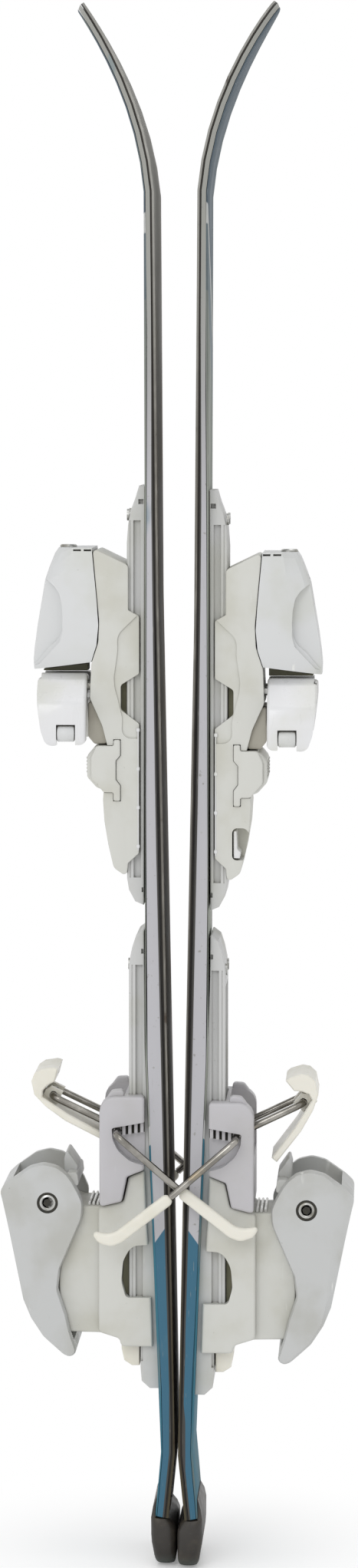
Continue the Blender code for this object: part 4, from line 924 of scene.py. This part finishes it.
for side in SIDES:
    outline = at(REAR_FACE, HEEL_Z, (
        (16.8, -1.6, 2), (16.8, 63.2, 9), (-9.3, 63.2, 2), (-9.3, 20.2, 2), (0.7, 16.2, 2), (3.8, 1.6, 2),
    ))
    recess = rounded(at(REAR_FACE, HEEL_Z, (
        (-11.2, 48.6), (9.6, 44.8, 1.2), (9.2, 38.5, 8), (6.2, 31.8, 12), (-1, 25.4, 12), (-11.2, 22.6),
    )), 6)
    lug = at(REAR_FACE, HEEL_Z, ((12.8, 56, 1), (12.8, 62, 3), (9.5, 66.4, 3), (2.6, 66.8, 2), (2.6, 56, 1)))
    cut = prism(recess, 26, 40)
    body = moulding(outline, -BRAKE_HOUSING_HALF, BRAKE_HOUSING_HALF, 1.5)
    body = combined(body, [moulding(lug, 24, 31, 1), moulding(lug, -31, -24, 1)], "UNION")
    body = combined(body, [
        channel(REAR_FACE, 60, 400),
        block((REAR_FACE + 2.3, REAR_FACE + 30), (-23.5, 23.5), (HEEL_Z + 30.2, HEEL_Z + 75)),
        cut, mirrored(cut), wheel(((2.4, -40), (2.4, 40)), (AXLE[0], 0, AXLE[1]), (0, 1, 0), 20),
    ])
    finished(side, "brake_housing_moulding", softened(body, 0.7, 3, 35), grey_finish, "heel_unit",
             "grey_plastic", "brake_housing")
    fins = [rib_row((20.4, y, HEEL_Z + 44.6), (3.5, 0, -0.55), (1.9, 4.5, 5.6), 4, grey_finish, 0.2)
            for y in (28.6, -28.6)]
    finished(side, "brake_housing_fins", joined(fins), grey_finish, "heel_unit", "grey_plastic")
    # A black sheet of painted shade behind the ribs, for the gaps between them
    back = prism(at(REAR_FACE, HEEL_Z, ((-9.2, 41.6), (4.4, 39.6), (4.4, 45.2), (-9.2, 47.8))), 26, 26.4)
    backs = joined([back, mirrored(back)])
    finished(side, "brake_housing_painted_shade_back", backs, painted_shade_black_finish, "heel_unit", "black_rubber")

# Brake: one bent steel wire, plated, worn darker and brownish in places, with a milky plastic
# tip on each arm and the pedal clipped round its crossbar.

wire_finish, tree, shader, place = opened("worn_plated_steel_wire")
patch, fine = patterns(tree, place, (14, 3, 1), (0.8, 3, 1))
tone = tinted(tree, "a3a09a", (patch, 0.4, 0.6, "827f79"), (patch, 0.6, 0.78, "a5977e"))
dressed(tree, shader, tone, patch, 0.16, 0.3, fine, 0.02, 0.2)
shader.inputs["Metallic"].default_value = 1.0

# Warm white that lets a little light through, so that its edges glow
milky_finish = moulded("milky_natural_nylon", "e6e3d8", "dad7c8", 0.32, 0.5, 0.8, gloss=0.2)
shader = milky_finish.node_tree.nodes["Principled BSDF"]
shader.inputs["Subsurface Weight"].default_value = 0.2
shader.inputs["Subsurface Scale"].default_value = 0.002
shader.inputs["Subsurface Radius"].default_value = (1, 0.9, 0.8)

ARM_ANGLE = 220.9  # direction of the brake's arms at rest, in degrees from outwards
ARM_Y = 45.8  # how far each arm stands from the middle of the ski
TIP_HALF = 2.5


def on_arm(along, off):
    """Point at a distance down the brake's arm from its axle, and to the side of it."""
    c, s = cos(radians(ARM_ANGLE)), sin(radians(ARM_ANGLE))
    return AXLE[0] + along * c + off * s, AXLE[1] + along * s - off * c


TIP_BLADE = (
    (49.5, -3.5, 3.4), (88, -1.8, 12), (94.4, 0.4, 8), (98.8, 7.5, 6), (97.6, 15.4, 2.2), (91.5, 8.4, 5),
    (87, 5.6, 10), (49.5, 3.5, 3.4),
)

for side in SIDES:
    form = smooth(packed(side, "brake_wire"), 50)
    finished(side, "brake_wire_bent", form, wire_finish, "brake", "plated_steel", "brake_wire")
    blade = [(*on_arm(a, n), radius) for a, n, radius in TIP_BLADE]
    for sign in (1, -1):
        name = "brake_tip_" + ("near" if (sign > 0) == (side == "left") else "far")
        tip = smooth(moulding(blade, ARM_Y - TIP_HALF, ARM_Y + TIP_HALF, 2.1, steps=5), 60)
        finished(side, name + "_moulding", tip if sign > 0 else mirrored(tip), milky_finish, "brake",
                 "milky_plastic", name)
    finished(side, "brake_pedal_moulding", softened(packed(side, "brake_pedal"), 0.9), milky_finish,
             "brake_pedal", "milky_plastic", "brake_pedal")

# Heel carriage: the cream body of the heel unit on the rear rail, with the tower that the heel
# piece turns on and an olive web of painted shade in its window. Small plated spring ends show on
# its top, and its milky lock lever is at the foot.

CARRIAGE_HALF = 29.5
TOWER_HALF = 23.7
PIVOT_OUT = 47.4  # the heel piece's bolt above the rail's face
BOLT_BORE = 3.5  # radius

for side in SIDES:
    base = at(REAR_FACE, HEEL_Z, (
        (17.8, -2.8, 3), (3.2, 0.9, 2), (0.1, 15.2, 2), (-9.3, 19.2, 1), (-10.2, -6.8), (-11.9, -32.8),
        (-13.2, -58.8), (-14, -84.8), (4.5, -84.8, 3), (5.5, -80.2, 3), (17.8, -76.3, 3),
    ))
    tower = at(REAR_FACE, HEEL_Z, (
        (11.8, -78.3), (17.8, -77.6, 3), (37.8, -77.2, 6), (40.8, -64.8, 10), (41.3, -44.8, 20),
        (37.8, -19.8, 6), *arc((PIVOT_OUT, 0), 7.5, -60, 110, 12), (33.8, -0.8, 4), (28.8, -2.8, 3),
        (11.8, -2.8),
    ))
    window = rounded(at(REAR_FACE, HEEL_Z, (
        (-18, -55.8), (1.8, -55.8, 3), (4.4, -46, 12), (3.4, -34, 14), (-1.5, -25.2, 8), (-18, -24),
    )), 6)
    body = moulding(base, -CARRIAGE_HALF, CARRIAGE_HALF, 1.6)
    body = combined(body, [moulding(tower, -TOWER_HALF, TOWER_HALF, 1.2)], "UNION")
    body = combined(body, [
        channel(REAR_FACE, 60, 300), prism(window, -32, 32),
        block((REAR_FACE, 36), (-20, 20), (118.8, 130.5)),
        wheel(((BOLT_BORE, -40), (BOLT_BORE, 40)), (REAR_FACE + PIVOT_OUT, 0, HEEL_Z), (0, 1, 0), 24),
    ])
    finished(side, "heel_carriage_moulding", softened(body, 1.0, 3, 35), chassis_finish, "heel_unit",
             "cream_plastic", "heel_carriage")
    # An olive web of painted shade, filling the window behind the rail
    web = at(REAR_FACE, HEEL_Z, ((0.4, -55.5), (2.2, -55.5), (4.1, -46), (3.2, -34), (0.4, -28.5)))
    finished(side, "heel_carriage_painted_shade_web", softened(prism(web, -21, 21), 0.3, 2), painted_shade_olive_finish, "heel_unit",
             "cream_plastic")
    clips = rib_row((REAR_FACE + 18.6, 0, HEEL_Z - 2.2), (2.4, 0, 0), (1.3, 42, 2.2), 3, steel_finish, 0.3)
    finished(side, "heel_carriage_spring_ends", clips, steel_finish, "heel_unit", "plated_steel")
    finished(side, "heel_lock_lever_moulding", softened(packed(side, "heel_lock_lever"), 0.7), milky_finish,
             "heel_lock", "milky_plastic", "heel_lock_lever")

# Heel piece: the grey step-in heel, with a broad chamfer down its back, which turns on a
# socket-headed bolt through the tower. The bolt's head sits in a ring of black painted shade in each cheek.

PIVOT = (REAR_FACE + PIVOT_OUT, HEEL_Z)
HEEL_HALF = 31.0
RING_RADIUS = 6.2
HEEL_OUTLINE = (
    (-20.3, -6.8), (-20.7, 0), (-18.1, 6.2), (-14.5, 12.6), (-11.1, 17.2), (-5.6, 21.4), (2.4, 23.2),
    (10.4, 21.2), (16.9, 16.7), (22.4, 12.7), (26.7, 8.7), (27.7, 5.7), (26.8, 2.4), (23.2, -13.8),
    (18.8, -35.5), (14.4, -57.2), (9.9, -68.1), (2.8, -78.9), (-3.1, -84.3), (-9.3, -89.7),
    (-13.1, -91.2), (-17, -88.3), (-13, -76.1), (-10.7, -66.1), (-5.8, -51.2), (-7.2, -38.9),
    (-14, -23.5), (-19.8, -9.9),
)
HEEL_FLANK = (
    (-19.5, -6.8), (-19.9, 0), (-17.4, 5.8), (-13.9, 12.1), (-10.6, 16.6), (-5.3, 20.6), (2.3, 22.3),
    (9.8, 20.4), (14.5, 16.8), (17, 13.5), (17.7, 10.5), (17.6, 6), (17.2, 2.4), (15.5, -14.3),
    (13.4, -35.5), (11.4, -55.5), (8.6, -66.9), (1.6, -78.2), (-4, -83), (-9.6, -88.3),
    (-13, -90.2), (-16, -87.9), (-12.1, -76.1), (-9.8, -66.1), (-4.9, -51.2), (-6.3, -38.9),
    (-13.1, -23.3), (-18.9, -9.9),
)
CUP = (
    (-40, -82), (-7.5, -82), (-4.6, -66), (-4.6, -45), (-1.6, -22), (15.2, -18), (20.2, 3), (20.8, 40),
    (-40, 40),
)

# A neutral mid grey with a satin sheen, a shade warmer than the brake housing
heel_finish = moulded("grey_moulded_heel_nylon", "c1c2c1", "b5b5b0", 0.34, 0.5)

for side in SIDES:
    rings = []
    for y, outline in (
        (-HEEL_HALF, HEEL_FLANK), (-28.8, HEEL_OUTLINE), (28.8, HEEL_OUTLINE), (HEEL_HALF, HEEL_FLANK),
    ):
        rings.append([(x, y, z) for x, z in rounded([(x, z, 8) for x, z in at(*PIVOT, outline)], 3)])
    body = combined(lofted(rings), [prism(at(*PIVOT, CUP), -24.2, 24.2)])
    bar = at(*PIVOT, ((-18.1, 9.2, 2), (-11.6, 9.2, 2), (-10.5, 17.2, 2), (-17.2, 17.2, 2)))
    spur = at(*PIVOT, ((-16.1, 13, 1), (-16.8, 19.4, 1.5), (-10.1, 29, 1), (-8.6, 23.2, 2), (-9.1, 13, 1)))
    body = combined(body, [moulding(bar, -26.2, 26.2, 0.5), moulding(spur, -14, 14, 0.8)], "UNION")
    bore = Vector((PIVOT[0] + 12.4, 0, HEEL_Z - 12.8)), Vector((PIVOT[0] + 3.9, 0, HEEL_Z - 62))
    axis = (bore[1] - bore[0]).normalized()
    seat = (PIVOT[0], 0, PIVOT[1])
    body = combined(body, [
        wheel(((6.8, 0), (6.8, (bore[1] - bore[0]).length)), bore[0], axis, 24),
        wheel(((BOLT_BORE, -40), (BOLT_BORE, 40)), seat, (0, 1, 0), 24),
        wheel(((RING_RADIUS, 28.7), (RING_RADIUS, 40)), seat, (0, 1, 0), 32),
        wheel(((RING_RADIUS, -40), (RING_RADIUS, -28.7)), seat, (0, 1, 0), 32),
    ])
    finished(side, "heel_piece_moulding", softened(body, 0.6, 3, 32), heel_finish, "heel_piece",
             "grey_plastic", "heel_piece")
    half = wheel((
        (3.2, -1), (3.2, 28.8), (5.2, 28.9), (5.3, 29.4), (4.6, 30.5), (3.5, 30.8), (3.1, 30.4),
    ), seat, (0, 1, 0))
    socket = wheel(((2.5, 28.4), (2.5, 40)), seat, (0, 1, 0), 6)
    bolt = smooth(combined(half, [socket]), 35)
    finished(side, "heel_pivot_bolt_turned", joined([bolt, mirrored(bolt)]), steel_finish, "heel_unit",
             "plated_steel", "heel_pivot_bolt")
    # Painted shade: a black ring round the edge of each bolt head's recess, and a black disc in the bottom of
    # its socket
    ring = wheel(((5.35, 28.75), (6.15, 28.8), (6.15, 30.4), (5.75, 30.4)), seat, (0, 1, 0))
    deep = wheel(((2.6, 28.3), (2.6, 28.9)), seat, (0, 1, 0), 24)
    darks = joined([ring, mirrored(ring), deep, mirrored(deep)])
    finished(side, "heel_piece_painted_shade_rings", smooth(darks, 40), painted_shade_black_finish, "heel_unit", "black_rubber")
    form = spring(bore[1] - axis * 1.3, bore[0] + axis * 2.3, 5.2, 1.0, 7.5)
    finished(side, "heel_spring_coil", form, spring_finish, "heel_piece", "spring_steel", "heel_spring")

corners = [[list(corner) for corner in box] for box in (cad_box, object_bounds())]
